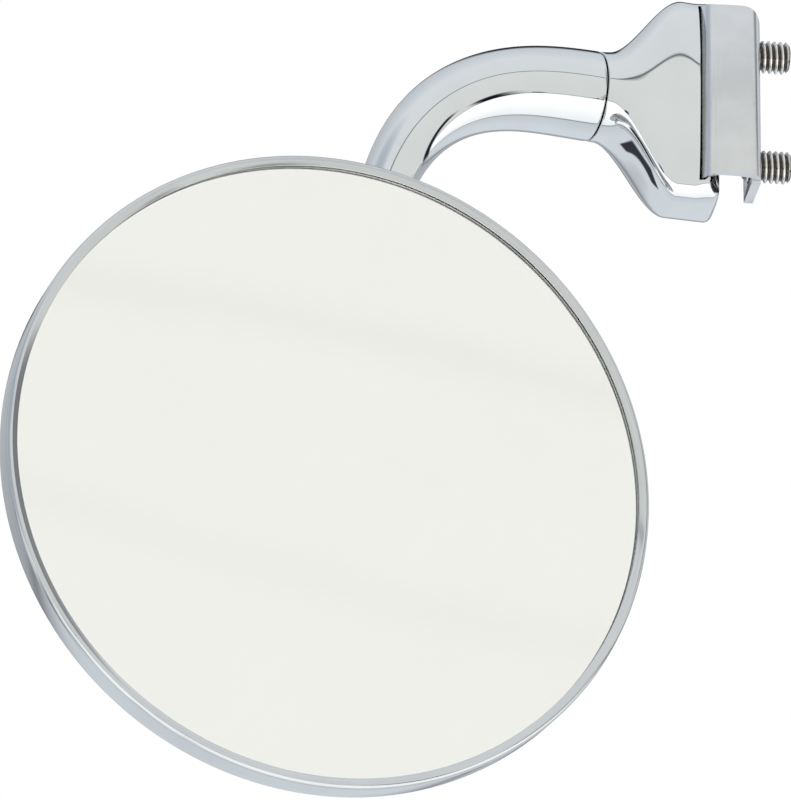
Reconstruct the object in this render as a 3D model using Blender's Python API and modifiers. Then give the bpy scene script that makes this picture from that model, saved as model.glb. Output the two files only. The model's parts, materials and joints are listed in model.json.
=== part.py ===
"""Clip-on round door mirror, as an assembly of separate pieces.

A die-cast foot is clamped over the edge of a car door by a bent steel bracket and two set screws.
A curved, tapered arm swivels in the foot's neck, and carries a round mirror head on a ball joint.

Frame: metres, +Z up along the clamp. The origin is the centre of the foot's door seat. +X points
from the seat across the door slot to the set screws, and the mirror faces -Y.
Two more frames are used. The arm frame is turned about Z by NECK_YAW, and its x axis is the arm's
swivel axis. The head frame has its origin at the centre of the glass and its z axis points straight
back from the glass, so every turned piece of the head is a profile of (radius, depth) points.
"""

import math

import bmesh
import bpy
from mathutils import Matrix, Vector

MM = 0.001
GAP = 0.3 * MM  # running clearance between neighbouring pieces

# Clamp bracket, bent from one strip
SHEET = 1.5 * MM
BRACKET_HEIGHT = 31.2 * MM
BRACKET_DEPTH = 10.2 * MM
BRACKET_CORNER = 3.2 * MM
WEB_FRONT = -8.3 * MM
SLOT_WIDTH = 5.2 * MM
FLANGE_X = -3.3 * MM
FLANGE_DEPTH = 6.5 * MM
FLANGE_BEND = 2.2 * MM
WALL_BEND = 1.8 * MM
WALL_X = SLOT_WIDTH + SHEET
ARCH_X = 0.5 * MM
ARCH_REACHES = (3.1 * MM, 9.0 * MM)
ARCH_RISE = 0.9 * MM

# Set screws, with a hexagon socket and a soft tip
SCREW_R = 2.7 * MM
SCREW_LENGTH = 7.8 * MM
SCREW_TIP_X = 4.3 * MM
SCREW_Y = -3.2 * MM
SCREW_HEIGHTS = {"upper": 8.8 * MM, "lower": -11.2 * MM}
SOCKET_FLATS = 3.0 * MM
SOCKET_DEPTH = 3.5 * MM
TIP_R = 1.4 * MM
TIP_LENGTH = 2.0 * MM

# Foot casting
NECK_YAW = math.radians(12)
NECK_Y = 1.6 * MM
SEAM_X = -21.0 * MM
SEAM_R = 7.5 * MM
SEAT_CENTRE_Y = 0.4 * MM
SEAT_HALF_DEPTH = 8.8 * MM
SEAT_TOP = 17.4 * MM
SEAT_BOTTOM = 18.9 * MM
SEAT_EDGE = 1.2 * MM
FOOT_SIDES = 32
FOOT_SHARES = [0.0, 0.10, 0.20, 0.28, 0.36, 0.44, 0.52, 0.60, 0.70, 0.84, 0.93, 0.965, 1.0]
SQUARENESS = 3.2
TOE_SQUARENESS = 1.4
SEAT_RELIEF = [
    (-3.9 * MM, -9.2 * MM),
    (0.3 * MM, -4.8 * MM),
    (4.0 * MM, -4.8 * MM),
    (4.0 * MM, -12.0 * MM),
    (-3.9 * MM, -12.0 * MM),
]
PIN_R = 1.2 * MM
BRACKET_PIN_HEIGHT = 9.0 * MM
BRACKET_PIN_Y = -3.95 * MM
BRACKET_PIN_ENDS = (-8.0 * MM, -0.4 * MM)

# Swivel joint in the neck
BORE_R = 5.5 * MM
BORE_END = -9.2 * MM
SPIGOT_R = 4.2 * MM
SPIGOT_END = -10.4 * MM
BUSH_ENDS = (-20.6 * MM, -16.2 * MM)
SWIVEL_PIN_X = -13.5 * MM
SWIVEL_PIN_R = 1.0 * MM
SWIVEL_PIN_HEIGHT = 4.4 * MM
SWIVEL_PIN_ENDS = (-4.5 * MM, 7.2 * MM)
GROOVE_R = 3.1 * MM

# Arm, one planar sweep in the arm frame
ARM_TIP_R = 4.2 * MM
ARM_STRAIGHT = 1.7 * MM
ARM_BEND = 49.6 * MM
BEND_STEPS = 18
TAPER_TO = 53.8 * MM

# Head, in the arm frame
HEAD_X = -73.0 * MM
HEAD_Y = -29.1 * MM
HEAD_Z = -82.6 * MM
RIM_R = 50.8 * MM
LIP_R = 49.1 * MM
RIM_FRONT = -0.8 * MM
RIM_BACK = 4.4 * MM
RIM_SHEET = 0.5 * MM
RIM_FRONT_EDGE = 1.0 * MM
RIM_BACK_EDGE = 0.6 * MM
CRIMP_R = 48.0 * MM
GLASS_R = 49.5 * MM
GLASS_THICKNESS = 2.0 * MM
GASKET_R = 46.6 * MM
GASKET_THICKNESS = 0.4 * MM
PAD_R = 46.0 * MM
PAD_THICKNESS = 1.0 * MM
SHELL_SHEET = 0.6 * MM
SHELL_FLANGE_R = 49.6 * MM
SHELL_FLANGE_DEPTH = 3.0 * MM
SHELL_RISE = 8.0 * MM
SHELL_MOUTH_R = 46.4 * MM
SHELL_FLAT_R = 17.0 * MM
SHELL_HOLE_R = 8.6 * MM

# Ball joint, depths behind the glass
BALL_DEPTH = 16.5 * MM
BALL_R = 5.0 * MM
SEAT_R = BALL_R + GAP
LINER_R = 6.5 * MM
HOUSING_R = LINER_R + GAP
HOUSING_SHEET = 1.0 * MM
PLATE_R = 15.5 * MM
MOUTH_ANGLE = math.radians(50)
LINER_ANGLES = (math.radians(52), math.radians(84))
CUP_ANGLE = math.radians(105)
CUP_SHOULDER = 10.0 * MM
CUP_FRONT = 8.5 * MM
CUP_BOSS_R = 2.6 * MM
SPRING_COIL_R = 3.7 * MM
SPRING_WIRE_R = 0.45 * MM
SPRING_TURNS = 3.0
SPRING_CUP_R = 7.4 * MM
SPRING_CUP_FLOOR = 5.0 * MM
RIVET_CIRCLE_R = 12.0 * MM
RIVET_R = 1.3 * MM
RIVET_HEAD_R = 2.2 * MM
RIVET_COUNT = 3
STUD_NECK_R = 2.3 * MM
STUD_COLLAR_R = 3.6 * MM
STUD_COLLAR = (24.3 * MM, 25.1 * MM)
STUD_SHANK_R = 2.6 * MM
STUD_END = 31.9 * MM
WASHER_THICKNESS = 0.5 * MM
SPOT_FACE = STUD_COLLAR[1] + 2 * GAP + WASHER_THICKNESS

LARGE_STEPS = 48
SMALL_STEPS = 24

FINISHES = {
    "chrome": ((0.78, 0.80, 0.82), 0.06, 1.0),
    "stainless": ((0.62, 0.63, 0.64), 0.22, 1.0),
    "satin_steel": ((0.60, 0.62, 0.64), 0.34, 1.0),
    "zinc_steel": ((0.66, 0.65, 0.62), 0.26, 1.0),
    "spring_steel": ((0.30, 0.30, 0.32), 0.32, 1.0),
    "mirror": ((0.90, 0.90, 0.88), 0.02, 1.0),
    "rubber": ((0.03, 0.03, 0.03), 0.80, 0.0),
    "foam": ((0.16, 0.16, 0.17), 0.90, 0.0),
    "nylon": ((0.86, 0.85, 0.80), 0.45, 0.0),
}


def clear_scene():
    """Removes the objects that the scene starts with."""
    for old in list(bpy.data.objects):
        bpy.data.objects.remove(old)


def new_collection(name):
    """A collection linked to the scene."""
    made = bpy.data.collections.new(name)
    bpy.context.scene.collection.children.link(made)
    return made


def new_material(name):
    """The Principled material of one finish."""
    colour, roughness, metallic = FINISHES[name]
    made = bpy.data.materials.new(name)
    made.use_nodes = True
    shader = made.node_tree.nodes["Principled BSDF"]
    shader.inputs["Base Color"].default_value = (*colour, 1.0)
    shader.inputs["Roughness"].default_value = roughness
    shader.inputs["Metallic"].default_value = metallic
    return made


def new_frame(name, parent, location, rotation):
    """An empty that holds one of the model's frames."""
    frame = bpy.data.objects.new(name, None)
    frame.parent = parent
    frame.location = location
    frame.rotation_euler = rotation
    parts.objects.link(frame)
    return frame


def place(item, frame, finish=None):
    """Puts an object in the parts, or in the cutters when it has no finish."""
    item.parent = frame
    if finish is None:
        cutters.objects.link(item)
        item.hide_render = True
        item.display_type = "WIRE"
        return item
    parts.objects.link(item)
    item.data.materials.append(materials[finish])
    return item


def smooth(item, degrees=35):
    """Shades the round faces smooth and keeps the sharp edges."""
    item.data.shade_smooth()
    item.data.set_sharp_from_angle(angle=math.radians(degrees))


def arc(centre, radius, start, end, steps):
    """Points on a circle from one angle to another, in degrees."""
    points = []
    for step in range(steps + 1):
        angle = math.radians(start + (end - start) * step / steps)
        points.append((centre[0] + radius * math.cos(angle), centre[1] + radius * math.sin(angle)))
    return points


def sphere_arc(radius, start, end, steps):
    """(radius, depth) points on a sphere about the ball's centre, by angle from straight back."""
    points = []
    for step in range(steps + 1):
        angle = start + (end - start) * step / steps
        points.append((radius * math.sin(angle), BALL_DEPTH + radius * math.cos(angle)))
    return points


def turned(name, profile, frame, finish=None, steps=SMALL_STEPS, closed=False):
    """A piece turned about its frame's z axis, from (radius, height) points down its outer side."""
    mesh = bpy.data.meshes.new(name)
    count = len(profile)
    edges = [(index, index + 1) for index in range(count - 1)]
    if closed:
        edges.append((count - 1, 0))
    mesh.from_pydata([(radius, 0.0, height) for radius, height in profile], edges, [])
    item = place(bpy.data.objects.new(name, mesh), frame, finish)
    screw = item.modifiers.new("turn", "SCREW")
    screw.steps = steps
    screw.render_steps = steps
    screw.use_merge_vertices = True
    screw.merge_threshold = 0.00001
    screw.use_smooth_shade = True
    return item


def ring(name, inner, outer, low, high, frame, finish=None, steps=SMALL_STEPS):
    """A plain ring, or with no finish a ring cutter."""
    profile = [(inner, high), (outer, high), (outer, low), (inner, low)]
    return turned(name, profile, frame, finish, steps, closed=True)


def rod(name, radius, low, high, frame, finish=None, steps=SMALL_STEPS, chamfer=0.0):
    """A round bar along its frame's z axis, with optional chamfers."""
    profile = [(0.0, high)]
    if chamfer:
        profile += [(radius - chamfer, high), (radius, high - chamfer)]
        profile += [(radius, low + chamfer), (radius - chamfer, low)]
    else:
        profile += [(radius, high), (radius, low)]
    profile.append((0.0, low))
    return turned(name, profile, frame, finish, steps)


def outline(name, points, half_thickness, frame):
    """A flat closed outline in its frame's xy plane, thickened both ways along z, as a mesh."""
    curve = bpy.data.curves.new(name + "_outline", "CURVE")
    curve.dimensions = "2D"
    curve.fill_mode = "BOTH"
    curve.extrude = half_thickness
    spline = curve.splines.new("POLY")
    spline.points.add(len(points) - 1)
    for point, (x, y) in zip(spline.points, points):
        point.co = (x, y, 0.0, 1.0)
    spline.use_cyclic_u = True
    return mesh_of_curve(name, curve, frame)


def mesh_of_curve(name, curve, frame):
    """A curve's evaluated shape as a closed mesh object, not yet in a collection."""
    source = bpy.data.objects.new(name + "_curve", curve)
    cutters.objects.link(source)
    graph = bpy.context.evaluated_depsgraph_get()
    mesh = bpy.data.meshes.new_from_object(source.evaluated_get(graph))
    bpy.data.objects.remove(source)
    form = bmesh.new()
    form.from_mesh(mesh)
    bmesh.ops.remove_doubles(form, verts=form.verts, dist=0.000001)
    bmesh.ops.recalc_face_normals(form, faces=form.faces)
    form.to_mesh(mesh)
    form.free()
    item = bpy.data.objects.new(name, mesh)
    item.parent = frame
    return item


def combine(item, other, operation="DIFFERENCE"):
    """Adds a Boolean with one other object."""
    step = item.modifiers.new(other.name, "BOOLEAN")
    step.operation = operation
    step.solver = "EXACT"
    step.object = other


def smoothstep(value):
    """0 below 0, 1 above 1, and a smooth rise between."""
    value = min(max(value, 0.0), 1.0)
    return value * value * (3.0 - 2.0 * value)


def build_frames():
    """The clamp screws' frames, the swivel frame, the arm frame and the head frame."""
    frames = {}
    along_x = (0.0, math.radians(90), 0.0)
    for name, height in SCREW_HEIGHTS.items():
        frames[name] = new_frame(name + "_screw_axis", None, (0.0, SCREW_Y, height), along_x)
    for name, side in (("upper", 1), ("lower", -1)):
        centre = (0.0, BRACKET_PIN_Y, side * BRACKET_PIN_HEIGHT)
        frames[name + "_pin"] = new_frame(name + "_bracket_pin_axis", None, centre, along_x)
    frames["clamp"] = new_frame("clamp_frame", None, (0.0, 0.0, 0.0), (0.0, 0.0, 0.0))
    frames["arm"] = new_frame("arm_frame", None, (0.0, NECK_Y, 0.0), (0.0, 0.0, NECK_YAW))
    frames["swivel"] = new_frame("swivel_axis", frames["arm"], (0.0, 0.0, 0.0), along_x)
    straight_back = (math.radians(-90), 0.0, 0.0)
    frames["head"] = new_frame("head_frame", frames["arm"], (HEAD_X, HEAD_Y, HEAD_Z), straight_back)
    return frames


def foot_section(share):
    """One ring of the foot, at a share of the way from the neck's seam to the door seat."""
    start = Matrix.Rotation(NECK_YAW, 3, "Z") @ Vector((SEAM_X + GAP / 2, 0.0, 0.0))
    start.y += NECK_Y
    centre = start.lerp(Vector((0.0, SEAT_CENTRE_Y, 0.0)), share)
    across = Matrix.Rotation(NECK_YAW * (1.0 - share), 3, "Z") @ Vector((0.0, 1.0, 0.0))
    top_flare = smoothstep((share - 0.08) / 0.60)
    bottom_flare = smoothstep((share - 0.05) / 0.58)
    half_depth = SEAM_R + (SEAT_HALF_DEPTH - SEAM_R) * top_flare
    rise = SEAM_R + (SEAT_TOP - SEAM_R) * top_flare
    drop = SEAM_R + (SEAT_BOTTOM - SEAM_R) * bottom_flare
    edge = SEAT_EDGE * max(0.0, (share - 0.93) / 0.07) ** 2
    squaring = smoothstep(share / 0.6)
    points = []
    for step in range(FOOT_SIDES):
        angle = 2.0 * math.pi * step / FOOT_SIDES
        behind_toe = math.cos(angle) > 0 and math.sin(angle) < 0
        squareness = TOE_SQUARENESS if behind_toe else SQUARENESS
        power = 2.0 / (2.0 + squareness * squaring)
        wide = math.copysign(abs(math.cos(angle)) ** power, math.cos(angle))
        tall = math.copysign(abs(math.sin(angle)) ** power, math.sin(angle))
        reach = (rise if tall > 0 else drop) - edge
        points.append(centre + across * wide * (half_depth - edge) + Vector((0, 0, tall * reach)))
    return points


def loft(name, rings):
    """A closed skin over rings of equal count, with a flat cap at each end."""
    form = bmesh.new()
    rows = [[form.verts.new(point) for point in points] for points in rings]
    for first, second in zip(rows, rows[1:]):
        for index in range(len(first)):
            after = (index + 1) % len(first)
            form.faces.new((first[index], first[after], second[after], second[index]))
    form.faces.new(rows[0])
    form.faces.new(rows[-1])
    bmesh.ops.recalc_face_normals(form, faces=form.faces)
    mesh = bpy.data.meshes.new(name)
    form.to_mesh(mesh)
    form.free()
    return mesh


def build_foot(frames):
    """The die-cast foot, with its neck bore, pin holes and the pocket for the bracket."""
    mesh = loft("clamp_foot", [foot_section(share) for share in FOOT_SHARES])
    foot = place(bpy.data.objects.new("clamp_foot", mesh), frames["clamp"], "chrome")
    bore = rod("bore_cutter", BORE_R, SEAM_X - 2 * MM, BORE_END, frames["swivel"])
    combine(foot, bore)
    lip_x = FLANGE_X + SHEET + GAP
    lip_front = WEB_FRONT + SHEET + GAP
    flange_end = WEB_FRONT + FLANGE_DEPTH + GAP
    beyond = 3 * MM
    front = WEB_FRONT - beyond
    pocket_points = [
        (FLANGE_X - GAP, front),
        (FLANGE_X - GAP, flange_end),
        (lip_x, flange_end),
        (lip_x, lip_front + GAP),
        (lip_x + GAP, lip_front),
        (-1.0 * MM, lip_front),
        (0.2 * MM, lip_front + 1.6 * MM),
        (beyond, lip_front + 1.6 * MM),
        (beyond, front),
    ]
    pocket = outline("pocket_cutter", pocket_points, BRACKET_HEIGHT / 2 + GAP, frames["clamp"])
    combine(foot, place(pocket, frames["clamp"]))
    relief = outline("seat_relief_cutter", SEAT_RELIEF, SEAT_BOTTOM + beyond, frames["clamp"])
    combine(foot, place(relief, frames["clamp"]))
    for name in ("upper", "lower"):
        low, high = BRACKET_PIN_ENDS
        pin_frame = frames[name + "_pin"]
        combine(foot, rod(name + "_pin_cutter", PIN_R + GAP, low - GAP, high + beyond, pin_frame, steps=16))
        combine(foot, swivel_pin(name + "_swivel_pin_cutter", name, frames, GAP))
    smooth(foot, 32)


def swivel_pin(name, side, frames, clearance, finish=None):
    """A cross pin that holds the arm's spigot in the neck, or the cutter for its hole."""
    low, high = SWIVEL_PIN_ENDS
    radius = SWIVEL_PIN_R + clearance
    if finish is None:
        low -= clearance
        high += 6 * MM
    pin = rod(name, radius, low, high, frames["arm"], finish, steps=16)
    sign = 1 if side == "upper" else -1
    pin.location = (SWIVEL_PIN_X, 0.0, sign * SWIVEL_PIN_HEIGHT)
    pin.rotation_euler = (math.radians(-90), 0.0, 0.0)
    return pin


def bracket_outline():
    """The bent strip seen from above: short flange, web and screw wall."""
    back = WEB_FRONT + BRACKET_DEPTH
    flange_end = WEB_FRONT + FLANGE_DEPTH
    wall_centre = (WALL_X - WALL_BEND, WEB_FRONT + WALL_BEND)
    flange_centre = (FLANGE_X + FLANGE_BEND, WEB_FRONT + FLANGE_BEND)
    points = [(WALL_X, back), (SLOT_WIDTH, back)]
    points += arc(wall_centre, WALL_BEND - SHEET, 0, -90, 2)
    points += arc(flange_centre, FLANGE_BEND - SHEET, -90, -180, 3)
    points += [(FLANGE_X + SHEET, flange_end), (FLANGE_X, flange_end)]
    points += arc(flange_centre, FLANGE_BEND, 180, 270, 6)
    points += arc(wall_centre, WALL_BEND, 270, 360, 5)
    return points


def build_bracket(frames):
    """The bent steel bracket, with two screw holes, two pin holes and one rounded corner."""
    half = BRACKET_HEIGHT / 2
    bracket = outline("clamp_bracket", bracket_outline(), half, frames["clamp"])
    place(bracket, frames["clamp"], "satin_steel")
    beyond = 2 * MM
    corner = (WALL_X - BRACKET_CORNER, half - BRACKET_CORNER)
    corner_points = arc(corner, BRACKET_CORNER, 0, 90, 6)
    corner_points += [(corner[0], half + beyond), (WALL_X + beyond, half + beyond)]
    corner_points += [(WALL_X + beyond, corner[1])]
    trim = outline("corner_cutter", corner_points, 2 * BRACKET_DEPTH, frames["clamp"])
    trim.rotation_euler = (math.radians(90), 0.0, 0.0)
    combine(bracket, place(trim, frames["clamp"]))
    combine(bracket, arch_cutter(-half, frames))
    for name in SCREW_HEIGHTS:
        low, high = SLOT_WIDTH - beyond, WALL_X + beyond
        combine(bracket, rod(name + "_screw_cutter", SCREW_R + GAP, low, high, frames[name]))
        low, high = FLANGE_X - beyond, FLANGE_X + SHEET + beyond
        hole = rod(name + "_flange_cutter", PIN_R + GAP, low, high, frames[name + "_pin"], steps=16)
        combine(bracket, hole)
    smooth(bracket, 32)


def arch_cutter(bottom, frames):
    """The shallow arch in the lower edge of the bracket's web."""
    reach_left, reach_right = ARCH_REACHES
    start, end = ARCH_X - reach_left, WALL_X + 1 * MM
    steps = 10
    points = []
    for step in range(steps + 1):
        x = start + (end - start) * step / steps
        reach = reach_left if x < ARCH_X else reach_right
        points.append((x, bottom + ARCH_RISE * (1.0 - ((x - ARCH_X) / reach) ** 2)))
    points += [(end, bottom - 2 * MM), (start, bottom - 2 * MM)]
    cutter = outline("arch_cutter", points, SHEET / 2 + 0.2 * MM, frames["clamp"])
    cutter.rotation_euler = (math.radians(90), 0.0, 0.0)
    cutter.location = (0.0, WEB_FRONT + SHEET / 2, 0.0)
    return place(cutter, frames["clamp"])


def build_clamp_fixings(frames):
    """The pins that hold the bracket in the foot, and the cross pins of the swivel."""
    low, high = BRACKET_PIN_ENDS
    for name in ("upper", "lower"):
        rod("bracket_pin_" + name, PIN_R, low, high, frames[name + "_pin"], "zinc_steel", 16, 0.2 * MM)
        swivel_pin("swivel_pin_" + name, name, frames, 0.0, "zinc_steel")


def build_set_screws(frames):
    """Two set screws through the bracket's wall, each with a soft tip in its nose."""
    end = SCREW_TIP_X + SCREW_LENGTH
    chamfer = 0.7 * MM
    hole_r = TIP_R + GAP
    hole_end = SCREW_TIP_X + TIP_LENGTH + GAP
    for name in SCREW_HEIGHTS:
        profile = [(0.0, end), (SCREW_R - chamfer, end), (SCREW_R, end - chamfer)]
        profile += [(SCREW_R, SCREW_TIP_X + chamfer), (SCREW_R - chamfer, SCREW_TIP_X)]
        profile += [(hole_r, SCREW_TIP_X), (hole_r, hole_end), (0.0, hole_end)]
        screw = turned("set_screw_" + name, profile, frames[name], "zinc_steel")
        socket_r = SOCKET_FLATS / math.sqrt(3.0)
        low, high = end - SOCKET_DEPTH, end + 1 * MM
        combine(screw, rod(name + "_socket_cutter", socket_r, low, high, frames[name], steps=6))
        tip_low = SCREW_TIP_X - 0.05 * MM
        rod("screw_tip_" + name, TIP_R, tip_low, tip_low + TIP_LENGTH, frames[name], "nylon", 16, 0.2 * MM)


def arm_radius(travel):
    """The arm's radius at a distance along its centre line from the seam."""
    return SEAM_R + (ARM_TIP_R - SEAM_R) * smoothstep(travel / TAPER_TO)


def bend_points(turn):
    """(x, z) down the bend, whose heading eases from level to the full turn."""
    x = SEAM_X - ARM_STRAIGHT
    z = 0.0
    points = [(x, z)]
    length = ARM_BEND / BEND_STEPS
    for step in range(BEND_STEPS):
        heading = turn * smoothstep((step + 0.5) / BEND_STEPS)
        x -= length * math.cos(heading)
        z -= length * math.sin(heading)
        points.append((x, z))
    return points


def bend_turn():
    """The turn that points the arm's straight tail at the centre of the head, in radians."""
    turn = math.radians(75)
    for _ in range(20):
        x, z = bend_points(turn)[-1]
        turn = math.atan2(z - HEAD_Z, x - HEAD_X)
    return turn


def arm_stations():
    """(x, z, radius) along the arm: a short straight, the bend, and a straight tail with a round end."""
    start = SEAM_X - GAP / 2
    turn = bend_turn()
    stations = [(start, 0.0, SEAM_R)]
    for step, (x, z) in enumerate(bend_points(turn)):
        stations.append((x, z, arm_radius(ARM_STRAIGHT + ARM_BEND * step / BEND_STEPS)))
    end_x, end_z, _ = stations[-1]
    tail = math.hypot(HEAD_X - end_x, HEAD_Z - end_z)
    bent = ARM_STRAIGHT + ARM_BEND
    ways = [(tail * step / 5, arm_radius(bent + tail * step / 5)) for step in range(1, 6)]
    straight_past = 1.6 * MM
    for step in range(5):
        lean = math.radians(80) * step / 4
        ways.append((tail + straight_past + ARM_TIP_R * math.sin(lean), ARM_TIP_R * math.cos(lean)))
    for way, radius in ways:
        stations.append((end_x - way * math.cos(turn), end_z - way * math.sin(turn), radius))
    return stations


def build_arm(frames):
    """The curved arm with its grooved spigot, and the drilled seat for the ball stud at its tip."""
    curve = bpy.data.curves.new("arm_line", "CURVE")
    curve.dimensions = "3D"
    curve.bevel_depth = SEAM_R
    curve.bevel_resolution = 4
    curve.use_fill_caps = True
    stations = arm_stations()
    spline = curve.splines.new("POLY")
    spline.points.add(len(stations) - 1)
    for point, (x, z, radius) in zip(spline.points, stations):
        point.co = (x, 0.0, z, 1.0)
        point.radius = radius / SEAM_R
    arm = place(mesh_of_curve("arm", curve, frames["arm"]), frames["arm"], "chrome")
    spigot = rod("spigot_core", SPIGOT_R, SEAM_X - 3 * MM, SPIGOT_END, frames["swivel"])
    combine(arm, spigot, "UNION")
    groove_half = SWIVEL_PIN_R + GAP
    low, high = SWIVEL_PIN_X - groove_half, SWIVEL_PIN_X + groove_half
    combine(arm, ring("groove_cutter", GROOVE_R, SPIGOT_R + 1 * MM, low, high, frames["swivel"]))
    beyond = 4 * MM
    hole = rod("stud_hole_cutter", STUD_SHANK_R + GAP, SPOT_FACE - beyond, STUD_END + GAP, frames["head"])
    combine(arm, hole)
    spot = rod("spot_face_cutter", STUD_COLLAR_R + 2 * GAP, SPOT_FACE - beyond, SPOT_FACE, frames["head"])
    combine(arm, spot)
    smooth(arm, 32)


def build_swivel_fittings(frames):
    """The nylon bush on the spigot and the spring washer behind it."""
    low, high = BUSH_ENDS
    ring("swivel_bush", SPIGOT_R + GAP, BORE_R - GAP, low, high, frames["swivel"], "nylon")
    low, high = SPIGOT_END + GAP, BORE_END - GAP
    ring("swivel_spring_washer", 2.0 * MM, BORE_R - 2 * GAP, low, high, frames["swivel"], "spring_steel")


def build_ball_stud(frames):
    """The ball stud screwed into the arm's tip, and its washer."""
    collar_low, collar_high = STUD_COLLAR
    neck_angle = math.asin(STUD_NECK_R / BALL_R)
    profile = [(0.0, STUD_END), (STUD_SHANK_R - 0.4 * MM, STUD_END), (STUD_SHANK_R, STUD_END - 0.4 * MM)]
    profile += [(STUD_SHANK_R, collar_high), (STUD_COLLAR_R, collar_high), (STUD_COLLAR_R, collar_low)]
    profile += [(STUD_NECK_R, collar_low)]
    profile += sphere_arc(BALL_R, neck_angle, math.pi, 11)[:-1]
    profile += [(0.0, BALL_DEPTH - BALL_R)]
    smooth(turned("ball_stud", profile, frames["head"], "zinc_steel"))
    low = collar_high + GAP
    high = low + WASHER_THICKNESS
    ring("stud_washer", STUD_SHANK_R + GAP, STUD_COLLAR_R, low, high, frames["head"], "spring_steel")


def build_ball_liners(frames):
    """The nylon seat ring behind the ball and the sprung pressure cup in front of it."""
    start, end = LINER_ANGLES
    profile = sphere_arc(LINER_R, start, end, 4) + sphere_arc(SEAT_R, end, start, 4)
    turned("ball_seat_ring", profile, frames["head"], "nylon", closed=True)
    rim_r = LINER_R * math.sin(CUP_ANGLE)
    rim_depth = BALL_DEPTH + LINER_R * math.cos(CUP_ANGLE)
    profile = [(0.0, BALL_DEPTH - SEAT_R)] + sphere_arc(SEAT_R, math.pi, CUP_ANGLE, 6)[1:]
    profile += [(rim_r, rim_depth), (rim_r, CUP_SHOULDER), (CUP_BOSS_R, CUP_SHOULDER)]
    profile += [(CUP_BOSS_R, CUP_FRONT), (0.0, CUP_FRONT)]
    turned("pressure_cup", profile, frames["head"], "nylon")


def build_spring(frames):
    """The coil spring that presses the cup on the ball."""
    low = SPRING_CUP_FLOOR + GAP + SPRING_WIRE_R
    high = CUP_SHOULDER - GAP - SPRING_WIRE_R
    curve = bpy.data.curves.new("spring_line", "CURVE")
    curve.dimensions = "3D"
    curve.bevel_depth = SPRING_WIRE_R
    curve.bevel_resolution = 1
    curve.use_fill_caps = True
    per_turn = 18
    count = int(SPRING_TURNS * per_turn)
    spline = curve.splines.new("POLY")
    spline.points.add(count)
    for index, point in enumerate(spline.points):
        turn = 2.0 * math.pi * index / per_turn
        height = low + (high - low) * index / count
        point.co = (SPRING_COIL_R * math.cos(turn), SPRING_COIL_R * math.sin(turn), height, 1.0)
    spring = place(mesh_of_curve("socket_spring", curve, frames["head"]), frames["head"], "spring_steel")
    smooth(spring)


def rivet_holes(item, low, high, frames):
    """Drills the rivet circle through one layer of the ball joint's stack."""
    for index, place_on_circle in enumerate(rivet_places()):
        name = f"{item.name}_rivet_cutter_{index + 1}"
        hole = rod(name, RIVET_R + GAP, low, high, frames["head"], steps=12)
        hole.location = place_on_circle
        combine(item, hole)


def rivet_places():
    """The rivets' centres on their circle, in the head frame."""
    places = []
    for index in range(RIVET_COUNT):
        turn = math.radians(90) + 2.0 * math.pi * index / RIVET_COUNT
        places.append((RIVET_CIRCLE_R * math.cos(turn), RIVET_CIRCLE_R * math.sin(turn), 0.0))
    return places


def build_socket(frames):
    """The socket housing outside the shell, the spring cup inside it, and the rivets through both."""
    shell_back = SHELL_FLANGE_DEPTH + SHELL_RISE + SHELL_SHEET
    plate_low = shell_back + GAP
    plate_high = plate_low + SHELL_SHEET
    outer_r = HOUSING_R + HOUSING_SHEET
    side = math.radians(90)
    profile = sphere_arc(outer_r, MOUTH_ANGLE, side, 5)
    profile += [(outer_r, plate_high), (PLATE_R, plate_high), (PLATE_R, plate_low), (HOUSING_R, plate_low)]
    profile += sphere_arc(HOUSING_R, side, MOUTH_ANGLE, 5)
    housing = turned("socket_housing", profile, frames["head"], "stainless", 30, closed=True)
    rivet_holes(housing, plate_low - 1 * MM, plate_high + 1 * MM, frames)
    smooth(housing)
    inner_high = shell_back - SHELL_SHEET - GAP
    inner_low = inner_high - SHELL_SHEET
    wall_r = SPRING_CUP_R + SHELL_SHEET
    floor = SPRING_CUP_FLOOR
    profile = [(0.0, floor), (SPRING_CUP_R, floor), (SPRING_CUP_R, inner_high), (PLATE_R, inner_high)]
    profile += [(PLATE_R, inner_low), (wall_r, inner_low)]
    profile += [(wall_r, floor - SHELL_SHEET), (0.0, floor - SHELL_SHEET)]
    spring_cup = turned("spring_cup", profile, frames["head"], "stainless", 30)
    rivet_holes(spring_cup, inner_low - 1 * MM, inner_high + 1 * MM, frames)
    head_high = plate_high + GAP
    head_low = inner_low - GAP
    crown = 1.1 * MM
    profile = [(0.0, head_high + crown), (RIVET_HEAD_R - 0.6 * MM, head_high + crown - 0.25 * MM)]
    profile += [(RIVET_HEAD_R, head_high + 0.4 * MM), (RIVET_HEAD_R, head_high), (RIVET_R, head_high)]
    profile += [(RIVET_R, head_low), (RIVET_HEAD_R, head_low), (RIVET_HEAD_R - 0.3 * MM, head_low - 0.8 * MM)]
    profile += [(0.0, head_low - 0.9 * MM)]
    for index, place_on_circle in enumerate(rivet_places()):
        rivet = turned(f"socket_rivet_{index + 1}", profile, frames["head"], "zinc_steel", 14)
        rivet.location = place_on_circle


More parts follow.
